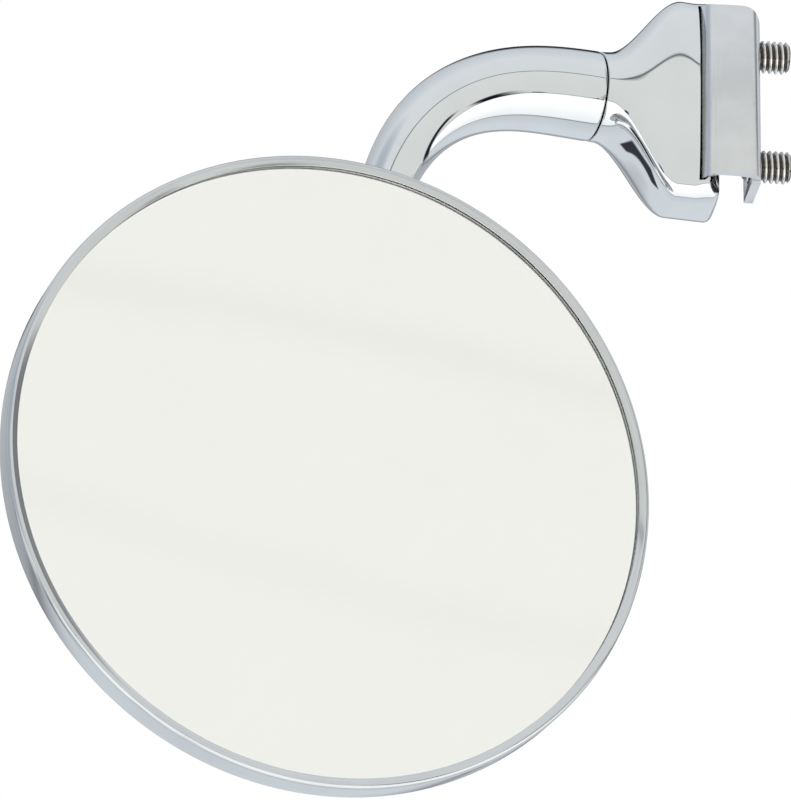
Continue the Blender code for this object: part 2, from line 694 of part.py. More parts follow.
def build_shell(frames):
    """The pressed stainless back shell, a shallow bowl with a flat centre and a flat flange."""
    flange_high = SHELL_FLANGE_DEPTH + SHELL_SHEET
    steps = 8
    outer = []
    inner = []
    for step in range(steps + 1):
        turn = math.radians(90) * step / steps
        sweep = SHELL_MOUTH_R - SHELL_FLAT_R
        rise = SHELL_RISE * math.cos(turn)
        outer.append((SHELL_FLAT_R + (sweep + SHELL_SHEET) * math.sin(turn), flange_high + rise))
        inner.append((SHELL_FLAT_R + sweep * math.sin(turn), SHELL_FLANGE_DEPTH + rise))
    profile = [(SHELL_HOLE_R, flange_high + SHELL_RISE)] + outer
    profile += [(SHELL_FLANGE_R, flange_high), (SHELL_FLANGE_R, SHELL_FLANGE_DEPTH)]
    profile += inner[::-1] + [(SHELL_HOLE_R, SHELL_FLANGE_DEPTH + SHELL_RISE)]
    shell = turned("back_shell", profile, frames["head"], "stainless", LARGE_STEPS, closed=True)
    flat = SHELL_FLANGE_DEPTH + SHELL_RISE
    rivet_holes(shell, flat - 1 * MM, flat + SHELL_SHEET + 1 * MM, frames)
    smooth(shell)


def build_rim_and_glass(frames):
    """The rolled bezel ring, the mirror glass, and the gasket and pad behind the glass."""
    inner_r = SHELL_FLANGE_R + GAP
    back_centre = (RIM_R - RIM_BACK_EDGE, RIM_BACK - RIM_BACK_EDGE)
    front_centre = (RIM_R - RIM_FRONT_EDGE, RIM_FRONT + RIM_FRONT_EDGE)
    profile = [(CRIMP_R, RIM_BACK)] + arc(back_centre, RIM_BACK_EDGE, 90, 0, 3)
    profile += arc(front_centre, RIM_FRONT_EDGE, 0, -90, 4)
    profile += [(LIP_R + 0.2 * MM, RIM_FRONT), (LIP_R, RIM_FRONT + 0.2 * MM), (LIP_R, RIM_FRONT + RIM_SHEET)]
    profile += [(inner_r, RIM_FRONT + RIM_SHEET), (inner_r, RIM_BACK - RIM_SHEET)]
    profile += [(CRIMP_R, RIM_BACK - RIM_SHEET)]
    smooth(turned("bezel_ring", profile, frames["head"], "stainless", LARGE_STEPS, closed=True))
    rod("mirror_glass", GLASS_R, 0.0, GLASS_THICKNESS, frames["head"], "mirror", LARGE_STEPS, 0.3 * MM)
    low = GLASS_THICKNESS + GAP
    high = low + GASKET_THICKNESS
    ring("glass_gasket", GASKET_R, GLASS_R, low, high, frames["head"], "rubber", LARGE_STEPS)
    rod("backing_pad", PAD_R, low, low + PAD_THICKNESS, frames["head"], "foam", LARGE_STEPS)


def main():
    """Builds every piece of the mirror."""
    frames = build_frames()
    build_foot(frames)
    build_bracket(frames)
    build_clamp_fixings(frames)
    build_set_screws(frames)
    build_arm(frames)
    build_swivel_fittings(frames)
    build_ball_stud(frames)
    build_ball_liners(frames)
    build_spring(frames)
    build_socket(frames)
    build_shell(frames)
    build_rim_and_glass(frames)


clear_scene()
parts = new_collection("clip_on_door_mirror")
cutters = new_collection("cutters")
materials = {name: new_material(name) for name in FINISHES}
main()
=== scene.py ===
"""Looks of the clip-on round door mirror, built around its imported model.

Every sub-assembly is a class: its fields are its sizes, its methods model its pieces with edit-mode
steps and dress them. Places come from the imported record's joints and from the boxes of its nodes.
"""

import json  # noqa: E402
import logging  # noqa: E402
import math  # noqa: E402
from collections.abc import Iterator, Sequence  # noqa: E402
from contextlib import contextmanager  # noqa: E402
from dataclasses import dataclass, field  # noqa: E402
from enum import Enum  # noqa: E402

import bmesh  # noqa: E402
import bpy  # noqa: E402
from mathutils import Matrix, Vector  # noqa: E402

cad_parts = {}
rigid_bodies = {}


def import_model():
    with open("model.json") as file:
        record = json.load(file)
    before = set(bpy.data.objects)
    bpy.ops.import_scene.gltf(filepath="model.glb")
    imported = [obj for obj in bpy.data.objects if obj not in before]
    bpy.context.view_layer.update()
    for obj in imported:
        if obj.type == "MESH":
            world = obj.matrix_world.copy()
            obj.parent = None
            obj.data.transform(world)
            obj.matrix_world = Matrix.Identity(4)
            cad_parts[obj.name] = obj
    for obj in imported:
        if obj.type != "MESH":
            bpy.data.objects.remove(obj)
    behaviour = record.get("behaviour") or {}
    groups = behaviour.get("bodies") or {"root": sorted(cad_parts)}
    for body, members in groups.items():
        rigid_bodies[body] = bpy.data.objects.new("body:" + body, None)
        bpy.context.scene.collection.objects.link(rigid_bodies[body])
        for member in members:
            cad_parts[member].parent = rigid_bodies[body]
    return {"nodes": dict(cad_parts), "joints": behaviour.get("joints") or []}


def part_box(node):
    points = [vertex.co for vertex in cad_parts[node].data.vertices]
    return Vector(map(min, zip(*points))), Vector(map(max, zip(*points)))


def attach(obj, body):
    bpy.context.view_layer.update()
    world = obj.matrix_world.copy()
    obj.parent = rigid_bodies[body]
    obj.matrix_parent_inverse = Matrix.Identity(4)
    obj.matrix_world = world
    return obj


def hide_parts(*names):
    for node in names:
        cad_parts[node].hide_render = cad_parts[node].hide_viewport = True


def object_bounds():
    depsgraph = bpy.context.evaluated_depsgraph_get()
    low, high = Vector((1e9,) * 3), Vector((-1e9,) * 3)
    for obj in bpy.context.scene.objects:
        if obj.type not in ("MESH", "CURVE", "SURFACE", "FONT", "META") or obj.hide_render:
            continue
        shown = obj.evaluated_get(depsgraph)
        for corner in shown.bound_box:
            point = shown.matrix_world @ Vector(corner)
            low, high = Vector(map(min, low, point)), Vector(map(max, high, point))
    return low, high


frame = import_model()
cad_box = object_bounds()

log = logging.getLogger("door_mirror")

MM = 0.001
GAP = 0.3 * MM
WELD = 0.002 * MM
COINCIDENT = 1e-9
PAST = 3 * MM  # how far a cutter runs past a face
AT_ORIGIN = Matrix.Identity(4)

Profile = list[tuple[float, float]]
Corner = tuple[float, float, float]
Colour = tuple[float, float, float]
Span = tuple[float, float]
Piece = bpy.types.Object
Socket = bpy.types.NodeSocket
Tree = bpy.types.NodeTree


class Body(Enum):
    """The moving bodies that pieces ride on."""

    CLAMP = "clamp"
    ARM = "arm"
    HEAD = "head"
    SCREW_UPPER = "screw_upper"
    SCREW_LOWER = "screw_lower"
    TIP_UPPER = "tip_upper"
    TIP_LOWER = "tip_lower"


class Slot(Enum):
    """The record's material slots."""

    CHROME = "chrome"
    STAINLESS = "stainless"
    SATIN_STEEL = "satin_steel"
    ZINC_STEEL = "zinc_steel"
    SPRING_STEEL = "spring_steel"
    MIRROR = "mirror"
    RUBBER = "rubber"
    FOAM = "foam"
    NYLON = "nylon"


class Side(Enum):
    """The upper or the lower of a pair along the clamp."""

    UPPER = "upper"
    LOWER = "lower"


# ---------------------------------------------------------------- places


def joint(name: str) -> dict:
    """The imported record's joint of that name."""
    return next(row for row in frame["joints"] if row["name"] == name)


def frame_matrix(origin: Vector, x: Vector, y: Vector, z: Vector) -> Matrix:
    """A placing matrix from an origin and three unit axes.

    Args:
        origin: The frame's origin.
        x: Its x axis.
        y: Its y axis.
        z: Its z axis.

    Returns:
        The 4x4 matrix from the frame to the row frame.
    """
    turn = Matrix((x, y, z)).transposed().to_4x4()
    return Matrix.Translation(origin) @ turn


@dataclass(frozen=True)
class Places:
    """The frames that the pieces are modelled in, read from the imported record."""

    ball_depth: float = 16.5 * MM

    @property
    def arm(self) -> Matrix:
        """The neck's frame: x along the swivel axis towards the door, z up."""
        row = joint("arm_swivel")
        x = Vector(row["axis"]).normalized()
        up = Vector((0.0, 0.0, 1.0))
        return frame_matrix(Vector(row["pos_m"]), x, up.cross(x), up)

    @property
    def swivel(self) -> Matrix:
        """The swivel axis as a lathe axis: z towards the door."""
        return self.arm @ Matrix.Rotation(math.radians(90), 4, "Y")

    @property
    def head(self) -> Matrix:
        """The head's lathe axis: origin at the centre of the glass, z straight back."""
        row = joint("head_spin")
        back = Vector(row["axis"]).normalized()
        centre = Vector(row["pos_m"]) - back * self.ball_depth
        down = Vector((0.0, 0.0, -1.0))
        return frame_matrix(centre, down.cross(back), down, back)

    def screw(self, side: Side) -> Matrix:
        """A set screw's lathe axis: z away from the door seat, origin level with the seat."""
        row = joint(f"screw_{side.value}_turn")
        out = -Vector(row["axis"]).normalized()
        start = Vector(row["pos_m"])
        start.x = 0.0
        up = Vector((0.0, 0.0, 1.0))
        return frame_matrix(start, -up, Vector((0.0, 1.0, 0.0)), out)

    def along_x(self, node: str) -> Matrix:
        """A lathe axis along X through the middle of a round node."""
        low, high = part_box(node)
        middle = (low + high) / 2
        middle.x = 0.0
        return Matrix.Translation(middle) @ Matrix.Rotation(math.radians(90), 4, "Y")


# ---------------------------------------------------------------- modelling steps


def deselect_all() -> None:
    """Leaves no object selected."""
    for item in bpy.context.view_layer.objects:
        item.select_set(False)


def activate(piece: Piece) -> None:
    """Makes one piece the only selected and active object."""
    deselect_all()
    piece.select_set(True)
    bpy.context.view_layer.objects.active = piece


@contextmanager
def editing(piece: Piece) -> Iterator[bmesh.types.BMesh]:
    """Edit mode on one piece, with its vertices reachable.

    Args:
        piece: The piece to edit.

    Yields:
        The edit mesh, valid until an operator runs.
    """
    activate(piece)
    bpy.ops.object.mode_set(mode="EDIT")
    try:
        yield bmesh.from_edit_mesh(piece.data)
    finally:
        bpy.ops.object.mode_set(mode="OBJECT")


def weld_and_face_out() -> None:
    """In edit mode, merges doubled points and turns every face outwards."""
    bpy.ops.mesh.select_all(action="SELECT")
    bpy.ops.mesh.remove_doubles(threshold=WELD)
    bpy.ops.mesh.normals_make_consistent(inside=False)


def settle(piece: Piece, place: Matrix) -> Piece:
    """Moves a piece's mesh into place and leaves its object at the origin."""
    piece.data.transform(piece.matrix_basis)
    piece.matrix_basis = AT_ORIGIN
    piece.data.transform(place)
    piece.data.update()
    return piece


def rounded(corners: Sequence[Corner], steps: int = 5) -> Profile:
    """A profile whose corners are rounded.

    Args:
        corners: (radius, depth, fillet) points. The ends of an open profile have no fillet.
        steps: Facets to a fillet.

    Returns:
        The (radius, depth) points.
    """
    points: Profile = []
    count = len(corners)
    for index, (radius, depth, fillet) in enumerate(corners):
        here = Vector((radius, depth))
        before = Vector(corners[index - 1][:2]) - here
        after = Vector(corners[(index + 1) % count][:2]) - here
        if fillet <= 0 or min(before.length, after.length) < COINCIDENT:
            points.append((radius, depth))
            continue
        before.normalize()
        after.normalize()
        half = math.acos(max(-1.0, min(1.0, before.dot(after)))) / 2
        if half > math.radians(89) or half < math.radians(1):
            points.append((radius, depth))
            continue
        reach = fillet / math.tan(half)
        centre = here + (before + after).normalized() * (fillet / math.sin(half))
        start = here + before * reach - centre
        end = here + after * reach - centre
        sweep = start.angle_signed(end)
        for step in range(steps + 1):
            turn = -sweep * step / steps
            point = centre + Matrix.Rotation(turn, 2) @ start
            points.append((point.x, point.y))
    return points


def sphere_points(radius: float, depth: float, start: float, end: float, steps: int) -> Profile:
    """Profile points on a ball about a point of the axis.

    Args:
        radius: The ball's radius.
        depth: The depth of its centre.
        start: First angle from straight back, in degrees.
        end: Last angle.
        steps: Facets between them.

    Returns:
        The (radius, depth) points.
    """
    points: Profile = []
    for step in range(steps + 1):
        angle = math.radians(start + (end - start) * step / steps)
        points.append((radius * math.sin(angle), depth + radius * math.cos(angle)))
    return points


def turn_piece(name: str, profile: Profile, place: Matrix, steps: int = 64) -> Piece:
    """A piece turned on a lathe: one point is extruded along the profile, and the line is spun.

    Args:
        name: The piece's name.
        profile: (radius, depth) points, which close on themselves where they start off the axis.
        place: The lathe axis, as a frame's matrix.
        steps: Facets round the turn.

    Returns:
        The piece, closed and in place.
    """
    deselect_all()
    bpy.ops.mesh.primitive_plane_add(size=1 * MM, location=(0.0, 0.0, 0.0))
    piece = bpy.context.object
    piece.name = piece.data.name = name
    with editing(piece) as form:
        bpy.ops.mesh.select_all(action="SELECT")
        bpy.ops.mesh.merge(type="CENTER")
        form = bmesh.from_edit_mesh(piece.data)
        form.verts.ensure_lookup_table()
        form.verts[0].co = (profile[0][0], 0.0, profile[0][1])
        here = Vector((profile[0][0], 0.0, profile[0][1]))
        for radius, depth in profile[1:]:
            there = Vector((radius, 0.0, depth))
            bpy.ops.mesh.extrude_region_move(TRANSFORM_OT_translate={"value": there - here})
            here = there
        if profile[0][0] > WELD:
            form = bmesh.from_edit_mesh(piece.data)
            for vertex in form.verts:
                vertex.select = len(vertex.link_edges) == 1
            form.select_flush_mode()
            bpy.ops.mesh.edge_face_add()
        bpy.ops.mesh.select_all(action="SELECT")
        bpy.ops.mesh.spin(steps=steps, angle=2 * math.pi, center=(0, 0, 0), axis=(0, 0, 1))
        weld_and_face_out()
    return settle(piece, place)


def drill(radius: float, low: float, high: float, axis: Matrix, steps: int = 40) -> Piece:
    """A round cutter along an axis, between two depths."""
    return turn_piece("drill", [(0.0, low), (radius, low), (radius, high), (0.0, high)], axis, steps)


def loft_piece(name: str, rings: Sequence[Sequence[Vector]], place: Matrix) -> Piece:
    """A solid drawn out of a round face, which is extruded once for each ring and fitted to it.

    Args:
        name: The piece's name.
        rings: The rings, each with as many points as the first.
        place: The frame that the rings are given in.

    Returns:
        The closed piece, in place.
    """
    deselect_all()
    bpy.ops.mesh.primitive_circle_add(vertices=len(rings[0]), radius=1 * MM, fill_type="NGON")
    piece = bpy.context.object
    piece.name = piece.data.name = name
    with editing(piece) as form:
        order = {}
        for index, vertex in enumerate(form.verts):
            order[vertex.index] = index
            vertex.co = rings[0][index]
        for ring in rings[1:]:
            bpy.ops.mesh.extrude_region_move(TRANSFORM_OT_translate={"value": (0, 0, 0)})
            form = bmesh.from_edit_mesh(piece.data)
            form.verts.index_update()
            chosen = [vertex for vertex in form.verts if vertex.select]
            following = {}
            for vertex in chosen:
                ends = (edge.other_vert(vertex) for edge in vertex.link_edges)
                root = next(end for end in ends if not end.select)
                following[vertex.index] = order[root.index]
                vertex.co = ring[order[root.index]]
            order = following
        weld_and_face_out()
    return settle(piece, place)


def slab_piece(name: str, points: Profile, low: float, high: float, place: Matrix) -> Piece:
    """A flat outline extruded between two heights.

    Args:
        name: The piece's name.
        points: The outline's (x, y) points in its frame.
        low: The lower height.
        high: The upper height.
        place: The outline's frame.

    Returns:
        The closed piece, in place.
    """
    deselect_all()
    bpy.ops.mesh.primitive_circle_add(vertices=len(points), radius=1 * MM, fill_type="NGON")
    piece = bpy.context.object
    piece.name = piece.data.name = name
    with editing(piece) as form:
        for vertex, (x, y) in zip(form.verts, points):
            vertex.co = (x, y, low)
        bpy.ops.mesh.extrude_region_move(TRANSFORM_OT_translate={"value": (0, 0, high - low)})
        weld_and_face_out()
    return settle(piece, place)


def carve(piece: Piece, cutter: Piece, operation: str = "DIFFERENCE") -> None:
    """Cuts a piece with another, which is then removed.

    Args:
        piece: The piece to cut.
        cutter: The cutting solid.
        operation: The Boolean's operation.
    """
    activate(piece)
    step = piece.modifiers.new("carve", "BOOLEAN")
    step.operation = operation
    step.solver = "EXACT"
    step.object = cutter
    bpy.ops.object.modifier_apply(modifier=step.name)
    mesh = cutter.data
    bpy.data.objects.remove(cutter)
    bpy.data.meshes.remove(mesh)


def soften_edges(piece: Piece, width: float, angle: float, segments: int = 3) -> None:
    """Rounds every edge sharper than an angle.

    Args:
        piece: The piece.
        width: The rounding's width.
        angle: The least angle between faces, in degrees.
        segments: Facets to a rounding.
    """
    activate(piece)
    step = piece.modifiers.new("soften", "BEVEL")
    step.width = width
    step.segments = segments
    step.limit_method = "ANGLE"
    step.angle_limit = math.radians(angle)
    step.miter_outer = "MITER_ARC"
    step.use_clamp_overlap = True
    bpy.ops.object.modifier_apply(modifier=step.name)


def shade(piece: Piece, degrees: float) -> None:
    """Shades round faces smooth and keeps the edges sharper than an angle."""
    activate(piece)
    bpy.ops.object.shade_smooth_by_angle(angle=math.radians(degrees))


def smoothstep(value: float) -> float:
    """0 below 0, 1 above 1, and a smooth rise between."""
    value = min(max(value, 0.0), 1.0)
    return value * value * (3.0 - 2.0 * value)


def rise_over(share: float, span: Span) -> float:
    """The smooth rise, 0 to 1, of a share over a span's start and length."""
    start, length = span
    return smoothstep((share - start) / length)


def dress(
    piece: Piece, finish: "Finish", body: Body, slot: Slot, *nodes: str, sharp: float = 32.0
) -> None:
    """Shades a finished piece, gives it its material and its body, and hides the nodes that it replaces.

    Args:
        piece: The finished piece.
        finish: Its finish.
        body: The body that it rides on.
        slot: The record's slot of its finish; not used.
        nodes: The nodes that it replaces.
        sharp: The least angle of an edge that stays sharp, in degrees.
    """
    shade(piece, sharp)
    piece.data.materials.clear()
    piece.data.materials.append(finish.material())
    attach(piece, body.value)
    if nodes:
        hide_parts(*nodes)
    log.info("%s: %d faces, on %s", piece.name, len(piece.data.polygons), body.value)


# ---------------------------------------------------------------- finishes


@dataclass
class ShaderSketch:
    """Short calls that add and join a material's nodes."""

    name: str
    tree: Tree = field(init=False)
    shader: bpy.types.Node = field(init=False)
    made: bpy.types.Material = field(init=False)

    def __post_init__(self) -> None:
        """Starts the material with its main shader."""
        self.made = bpy.data.materials.new(self.name)
        self.made.use_nodes = True
        self.tree = self.made.node_tree
        self.shader = self.tree.nodes["Principled BSDF"]

    def node(self, kind: str, **values: object) -> bpy.types.Node:
        """A new node with some of its properties set."""
        made = self.tree.nodes.new(kind)
        for key, value in values.items():
            setattr(made, key, value)
        return made

    def feed(self, node: bpy.types.Node, **sockets: object) -> bpy.types.Node:
        """Sets or links a node's inputs by name, with _ for a space."""
        for key, value in sockets.items():
            socket = node.inputs[key.replace("_", " ")]
            if isinstance(value, Socket):
                self.tree.links.new(value, socket)
            else:
                socket.default_value = value
        return node

    def math(self, operation: str, first: object, second: object = 0.0) -> Socket:
        """One arithmetic step on numbers or sockets."""
        made = self.node("ShaderNodeMath", operation=operation)
        for socket, value in zip(made.inputs, (first, second)):
            if isinstance(value, Socket):
                self.tree.links.new(value, socket)
            else:
                socket.default_value = value
        return made.outputs[0]

    def place(self) -> Socket:
        """The point on the piece, in metres."""
        return self.node("ShaderNodeTexCoord").outputs["Object"]

    def about(self, axis: Matrix) -> tuple[Socket, Socket, Socket]:
        """The point's radius from a lathe axis, its depth along it, and its turn about it.

        Args:
            axis: The lathe axis, as a frame's matrix.

        Returns:
            The sockets of radius and depth in metres, and of the turn in radians.
        """
        to_axis = axis.inverted()
        mapping = self.node("ShaderNodeMapping", vector_type="POINT")
        mapping.inputs["Location"].default_value = to_axis.to_translation()
        mapping.inputs["Rotation"].default_value = to_axis.to_euler()
        self.tree.links.new(self.place(), mapping.inputs["Vector"])
        split = self.node("ShaderNodeSeparateXYZ")
        self.tree.links.new(mapping.outputs[0], split.inputs[0])
        x, y, z = split.outputs
        radius = self.math("SQRT", self.math("ADD", self.math("MULTIPLY", x, x), self.math("MULTIPLY", y, y)))
        return radius, z, self.math("ARCTAN2", y, x)

    def noise(self, vector: Socket, scale: float, detail: float = 3.0, rough: float = 0.5) -> Socket:
        """Noise at so many cycles to a metre."""
        made = self.node("ShaderNodeTexNoise")
        self.feed(made, Vector=vector, Scale=scale, Detail=detail, Roughness=rough)
        return made.outputs[0]

    def stretched(self, vector: Socket, scale: tuple[float, float, float]) -> Socket:
        """The same place with each axis scaled, to draw a pattern out along one of them."""
        made = self.node("ShaderNodeMapping", vector_type="POINT")
        made.inputs["Scale"].default_value = scale
        self.tree.links.new(vector, made.inputs["Vector"])
        return made.outputs[0]

    def ranged(
        self, value: Socket, low: float, high: float, start: float = 0.3, end: float = 0.7
    ) -> Socket:
        """A value moved from one range to another, held at the ends."""
        made = self.node("ShaderNodeMapRange", clamp=True)
        self.feed(made, Value=value, From_Min=start, From_Max=end, To_Min=low, To_Max=high)
        return made.outputs[0]

    def between(self, share: Socket, low: Colour, high: Colour) -> Socket:
        """A colour between two, by a share."""
        made = self.node("ShaderNodeMix", data_type="RGBA")
        made.inputs[6].default_value = (*low, 1.0)
        made.inputs[7].default_value = (*high, 1.0)
        self.tree.links.new(share, made.inputs[0])
        return made.outputs[2]

    def bump(self, height: Socket, strength: float, depth: float) -> None:
        """A surface relief on the main shader, after any that it has."""
        made = self.node("ShaderNodeBump")
        self.feed(made, Height=height, Strength=strength, Distance=depth)
        link = self.shader.inputs["Normal"]
        if link.is_linked:
            self.tree.links.new(link.links[0].from_socket, made.inputs["Normal"])
        self.tree.links.new(made.outputs[0], link)


@dataclass(frozen=True)
class Finish:
    """A surface finish: two close colours, a range of roughness, and the size of its grain."""

    name: str
    light: Colour
    dark: Colour
    gloss: tuple[float, float]
    metallic: float = 1.0

    def material(self) -> bpy.types.Material:
        """The finish's material, made once."""
        found = bpy.data.materials.get(self.name)
        if found:
            return found
        sketch = ShaderSketch(self.name)
        sketch.feed(sketch.shader, Metallic=self.metallic)
        self.draw(sketch)
        return sketch.made

    def draw(self, sketch: ShaderSketch) -> None:
        """Adds the nodes of this finish."""
        raise NotImplementedError

    def cloud(self, sketch: ShaderSketch, vector: Socket, scale: float) -> None:
        """Drives colour and roughness by one slow noise."""
        slow = sketch.noise(vector, scale, 4.0)
        colour = sketch.between(sketch.ranged(slow, 0, 1), self.light, self.dark)
        sketch.feed(sketch.shader, Base_Color=colour, Roughness=sketch.ranged(slow, *self.gloss))


@dataclass(frozen=True)
class ChromePlate(Finish):
    """Bright chrome on a polished casting: faint swell, faint haze and hairline wipe marks."""

    swell: float = 70.0
    wipe: float = 900.0

    def draw(self, sketch: ShaderSketch) -> None:
        """A slow haze in gloss, a faint swell of the casting, and fine wipe marks along it."""
        place = sketch.place()
        self.cloud(sketch, place, 160.0)
        sketch.bump(sketch.noise(place, self.swell, 1.0), 0.05, 0.02 * MM)
        drawn = sketch.stretched(place, (0.08, 1.0, 1.0))
        marks = sketch.ranged(sketch.noise(drawn, self.wipe * 3, 2.0), 0, 1, 0.55, 0.75)
        sketch.bump(marks, 0.04, 0.004 * MM)


@dataclass(frozen=True)
class SpunSheet(Finish):
    """Pressed and polished sheet with the fine rings that turning leaves."""

    axis: Matrix = field(default_factory=Matrix)
    rings: float = 2600.0
    ring_depth: float = 0.006 * MM

    def draw(self, sketch: ShaderSketch) -> None:
        """Rings about the axis in gloss and relief, over a slow haze."""
        radius, depth, turn = sketch.about(self.axis)
        across = sketch.node("ShaderNodeCombineXYZ")
        sketch.feed(across, X=radius, Y=depth, Z=sketch.math("MULTIPLY", turn, 0.0006))
        fine = sketch.noise(across.outputs[0], self.rings, 4.0, 0.65)
        slow = sketch.noise(sketch.place(), 90.0, 3.0)
        mixed = sketch.math("ADD", sketch.math("MULTIPLY", fine, 0.6), sketch.math("MULTIPLY", slow, 0.4))
        colour = sketch.between(sketch.ranged(mixed, 0, 1, 0.35, 0.65), self.light, self.dark)
        sketch.feed(sketch.shader, Base_Color=colour, Roughness=sketch.ranged(mixed, *self.gloss, 0.35, 0.65))
        sketch.bump(fine, 0.12, self.ring_depth)


@dataclass(frozen=True)
class RolledSteel(Finish):
    """Satin-plated strip with a fine grain along its length, dull spots and small dents."""

    grain: float = 4200.0

    def draw(self, sketch: ShaderSketch) -> None:
        """A fine grain drawn along the strip, over clouds and a few dents."""
        place = sketch.place()
        self.cloud(sketch, place, 260.0)
        drawn = sketch.stretched(place, (1.0, 1.0, 0.06))
        fine = sketch.noise(drawn, self.grain, 3.0, 0.7)
        sketch.bump(fine, 0.22, 0.012 * MM)
        dents = sketch.ranged(sketch.noise(place, 420.0, 2.0), 0, 1, 0.66, 0.76)
        sketch.bump(dents, 0.12, 0.02 * MM)


@dataclass(frozen=True)
class PlatedFixing(Finish):
    """Zinc-plated turned steel: mottled, with fine tool marks."""

    mottle: float = 900.0

    def draw(self, sketch: ShaderSketch) -> None:
        """Mottled colour and gloss with a fine grain."""
        place = sketch.place()
        self.cloud(sketch, place, self.mottle)
        sketch.bump(sketch.noise(place, 5200.0, 3.0, 0.6), 0.18, 0.01 * MM)


@dataclass(frozen=True)
class CutThread(PlatedFixing):
    """Zinc-plated thread, with painted shade darkening it towards its roots."""

    axis: Matrix = field(default_factory=Matrix)
    root_r: float = 2.2 * MM
    crest_r: float = 2.6 * MM

    def draw(self, sketch: ShaderSketch) -> None:
        """The plating, darkened by painted shade towards the roots, by the distance from the screw's axis."""
        super().draw(sketch)
        radius, _, _ = sketch.about(self.axis)
        # Painted shade: the thread turns dark towards its roots and stays bright at its crests.
        out_of_root_shade = sketch.ranged(radius, 0.0, 1.0, self.root_r, self.crest_r)
        mottled = sketch.shader.inputs["Base Color"].links[0].from_socket
        shaded = sketch.node("ShaderNodeMix", data_type="RGBA")
        # The dark colour of the painted shade in the thread's roots.
        shaded.inputs[6].default_value = (0.10, 0.09, 0.08, 1.0)
        sketch.tree.links.new(mottled, shaded.inputs[7])
        sketch.tree.links.new(out_of_root_shade, shaded.inputs[0])
        sketch.feed(sketch.shader, Base_Color=shaded.outputs[2])


@dataclass(frozen=True)
class MouldedFill(Finish):
    """Nylon, rubber or foam: cloudy colour with a pebbled or cellular surface."""

    cell: float = 2400.0
    relief: float = 0.03 * MM

    def draw(self, sketch: ShaderSketch) -> None:
        """Clouds of colour, and cells in relief."""
        place = sketch.place()
        self.cloud(sketch, place, 500.0)
        cells = sketch.node("ShaderNodeTexVoronoi")
        sketch.feed(cells, Vector=place, Scale=self.cell)
        sketch.bump(cells.outputs["Distance"], 0.35, self.relief)


@dataclass(frozen=True)
class ClearGlass(Finish):
    """Float glass with faint hairline scratches and wipe marks on its face."""

    axis: Matrix = field(default_factory=Matrix)
    ior: float = 1.52
    marks: tuple[tuple[tuple[float, float], tuple[float, float], float], ...] = (
        ((-20 * MM, -21 * MM), (43 * MM, 19 * MM), 0.16 * MM),
        ((15 * MM, -1.2 * MM), (19.5 * MM, 1.4 * MM), 0.35 * MM),
        ((-5 * MM, 17 * MM), (-3 * MM, 20 * MM), 0.3 * MM),
        ((-21 * MM, -1.5 * MM), (-18 * MM, 0.5 * MM), 0.3 * MM),
    )

    def draw(self, sketch: ShaderSketch) -> None:
        """Clear glass, whose gloss falls a little where it is scratched."""
        sketch.feed(sketch.shader, IOR=self.ior, Transmission_Weight=1.0)
        place = sketch.place()
        slow = sketch.noise(place, 60.0, 3.0)
        colour = sketch.between(sketch.ranged(slow, 0, 1), self.light, self.dark)
        worn = sketch.ranged(sketch.noise(place, 900.0, 4.0, 0.6), 0.0, 1.0, 0.70, 0.74)
        for start, end, width in self.marks:
            worn = sketch.math("MAXIMUM", worn, self.mark(sketch, start, end, width))
        sketch.feed(sketch.shader, Base_Color=colour, Roughness=sketch.ranged(worn, *self.gloss, 0.0, 1.0))

    def mark(
        self, sketch: ShaderSketch, start: tuple[float, float], end: tuple[float, float], width: float
    ) -> Socket:
        """One faint scratch between two points of the glass.

        Args:
            sketch: The material under way.
            start: Where the scratch starts, to the right and up from the centre.
            end: Where it ends.
            width: Its half width.

        Returns:
            The socket of the scratch's cover, 0 to 1.
        """
        first = self.axis @ Vector((start[0], start[1], 0.0))
        last = self.axis @ Vector((end[0], end[1], 0.0))
        run = (last - first).normalized()
        shifted = sketch.node("ShaderNodeVectorMath", operation="SUBTRACT")
        sketch.tree.links.new(sketch.place(), shifted.inputs[0])
        shifted.inputs[1].default_value = first.lerp(last, 0.5)
        across = (self.axis.to_3x3() @ Vector((0, 0, 1))).cross(run)
        offs = []
        for way in (across, run):
            dot = sketch.node("ShaderNodeVectorMath", operation="DOT_PRODUCT")
            sketch.tree.links.new(shifted.outputs[0], dot.inputs[0])
            dot.inputs[1].default_value = way
            offs.append(sketch.math("ABSOLUTE", dot.outputs["Value"]))
        near = sketch.ranged(offs[0], 1.0, 0.0, width * 0.4, width)
        half = (last - first).length / 2
        return sketch.math("MULTIPLY", near, sketch.ranged(offs[1], 1.0, 0.0, half * 0.9, half))


@dataclass(frozen=True)
class Silvering(Finish):
    """The silver behind the glass, with painted shade near its edge: a dark teal ring for the lip's shadow.
    """

    axis: Matrix = field(default_factory=Matrix)
    edge: float = 49.22 * MM

    def draw(self, sketch: ShaderSketch) -> None:
        """Even silver that turns to painted dark teal shade, for the lip's shadow, in the last half
        millimetre before the edge.
        """
        radius, _, _ = sketch.about(self.axis)
        slow = sketch.noise(sketch.place(), 240.0, 4.0)
        wander = sketch.math("ADD", radius, sketch.math("MULTIPLY", slow, 0.12 * MM))
        # Painted shade: the silver turns dark teal in a ring at its edge, standing in for the shadow that the
        # lip casts there.
        rim = sketch.ranged(wander, 0, 1, self.edge, self.edge + 0.25 * MM)
        sketch.feed(sketch.shader, Base_Color=sketch.between(rim, self.light, self.dark))
        sketch.feed(sketch.shader, Roughness=sketch.ranged(rim, *self.gloss, 0.0, 1.0))


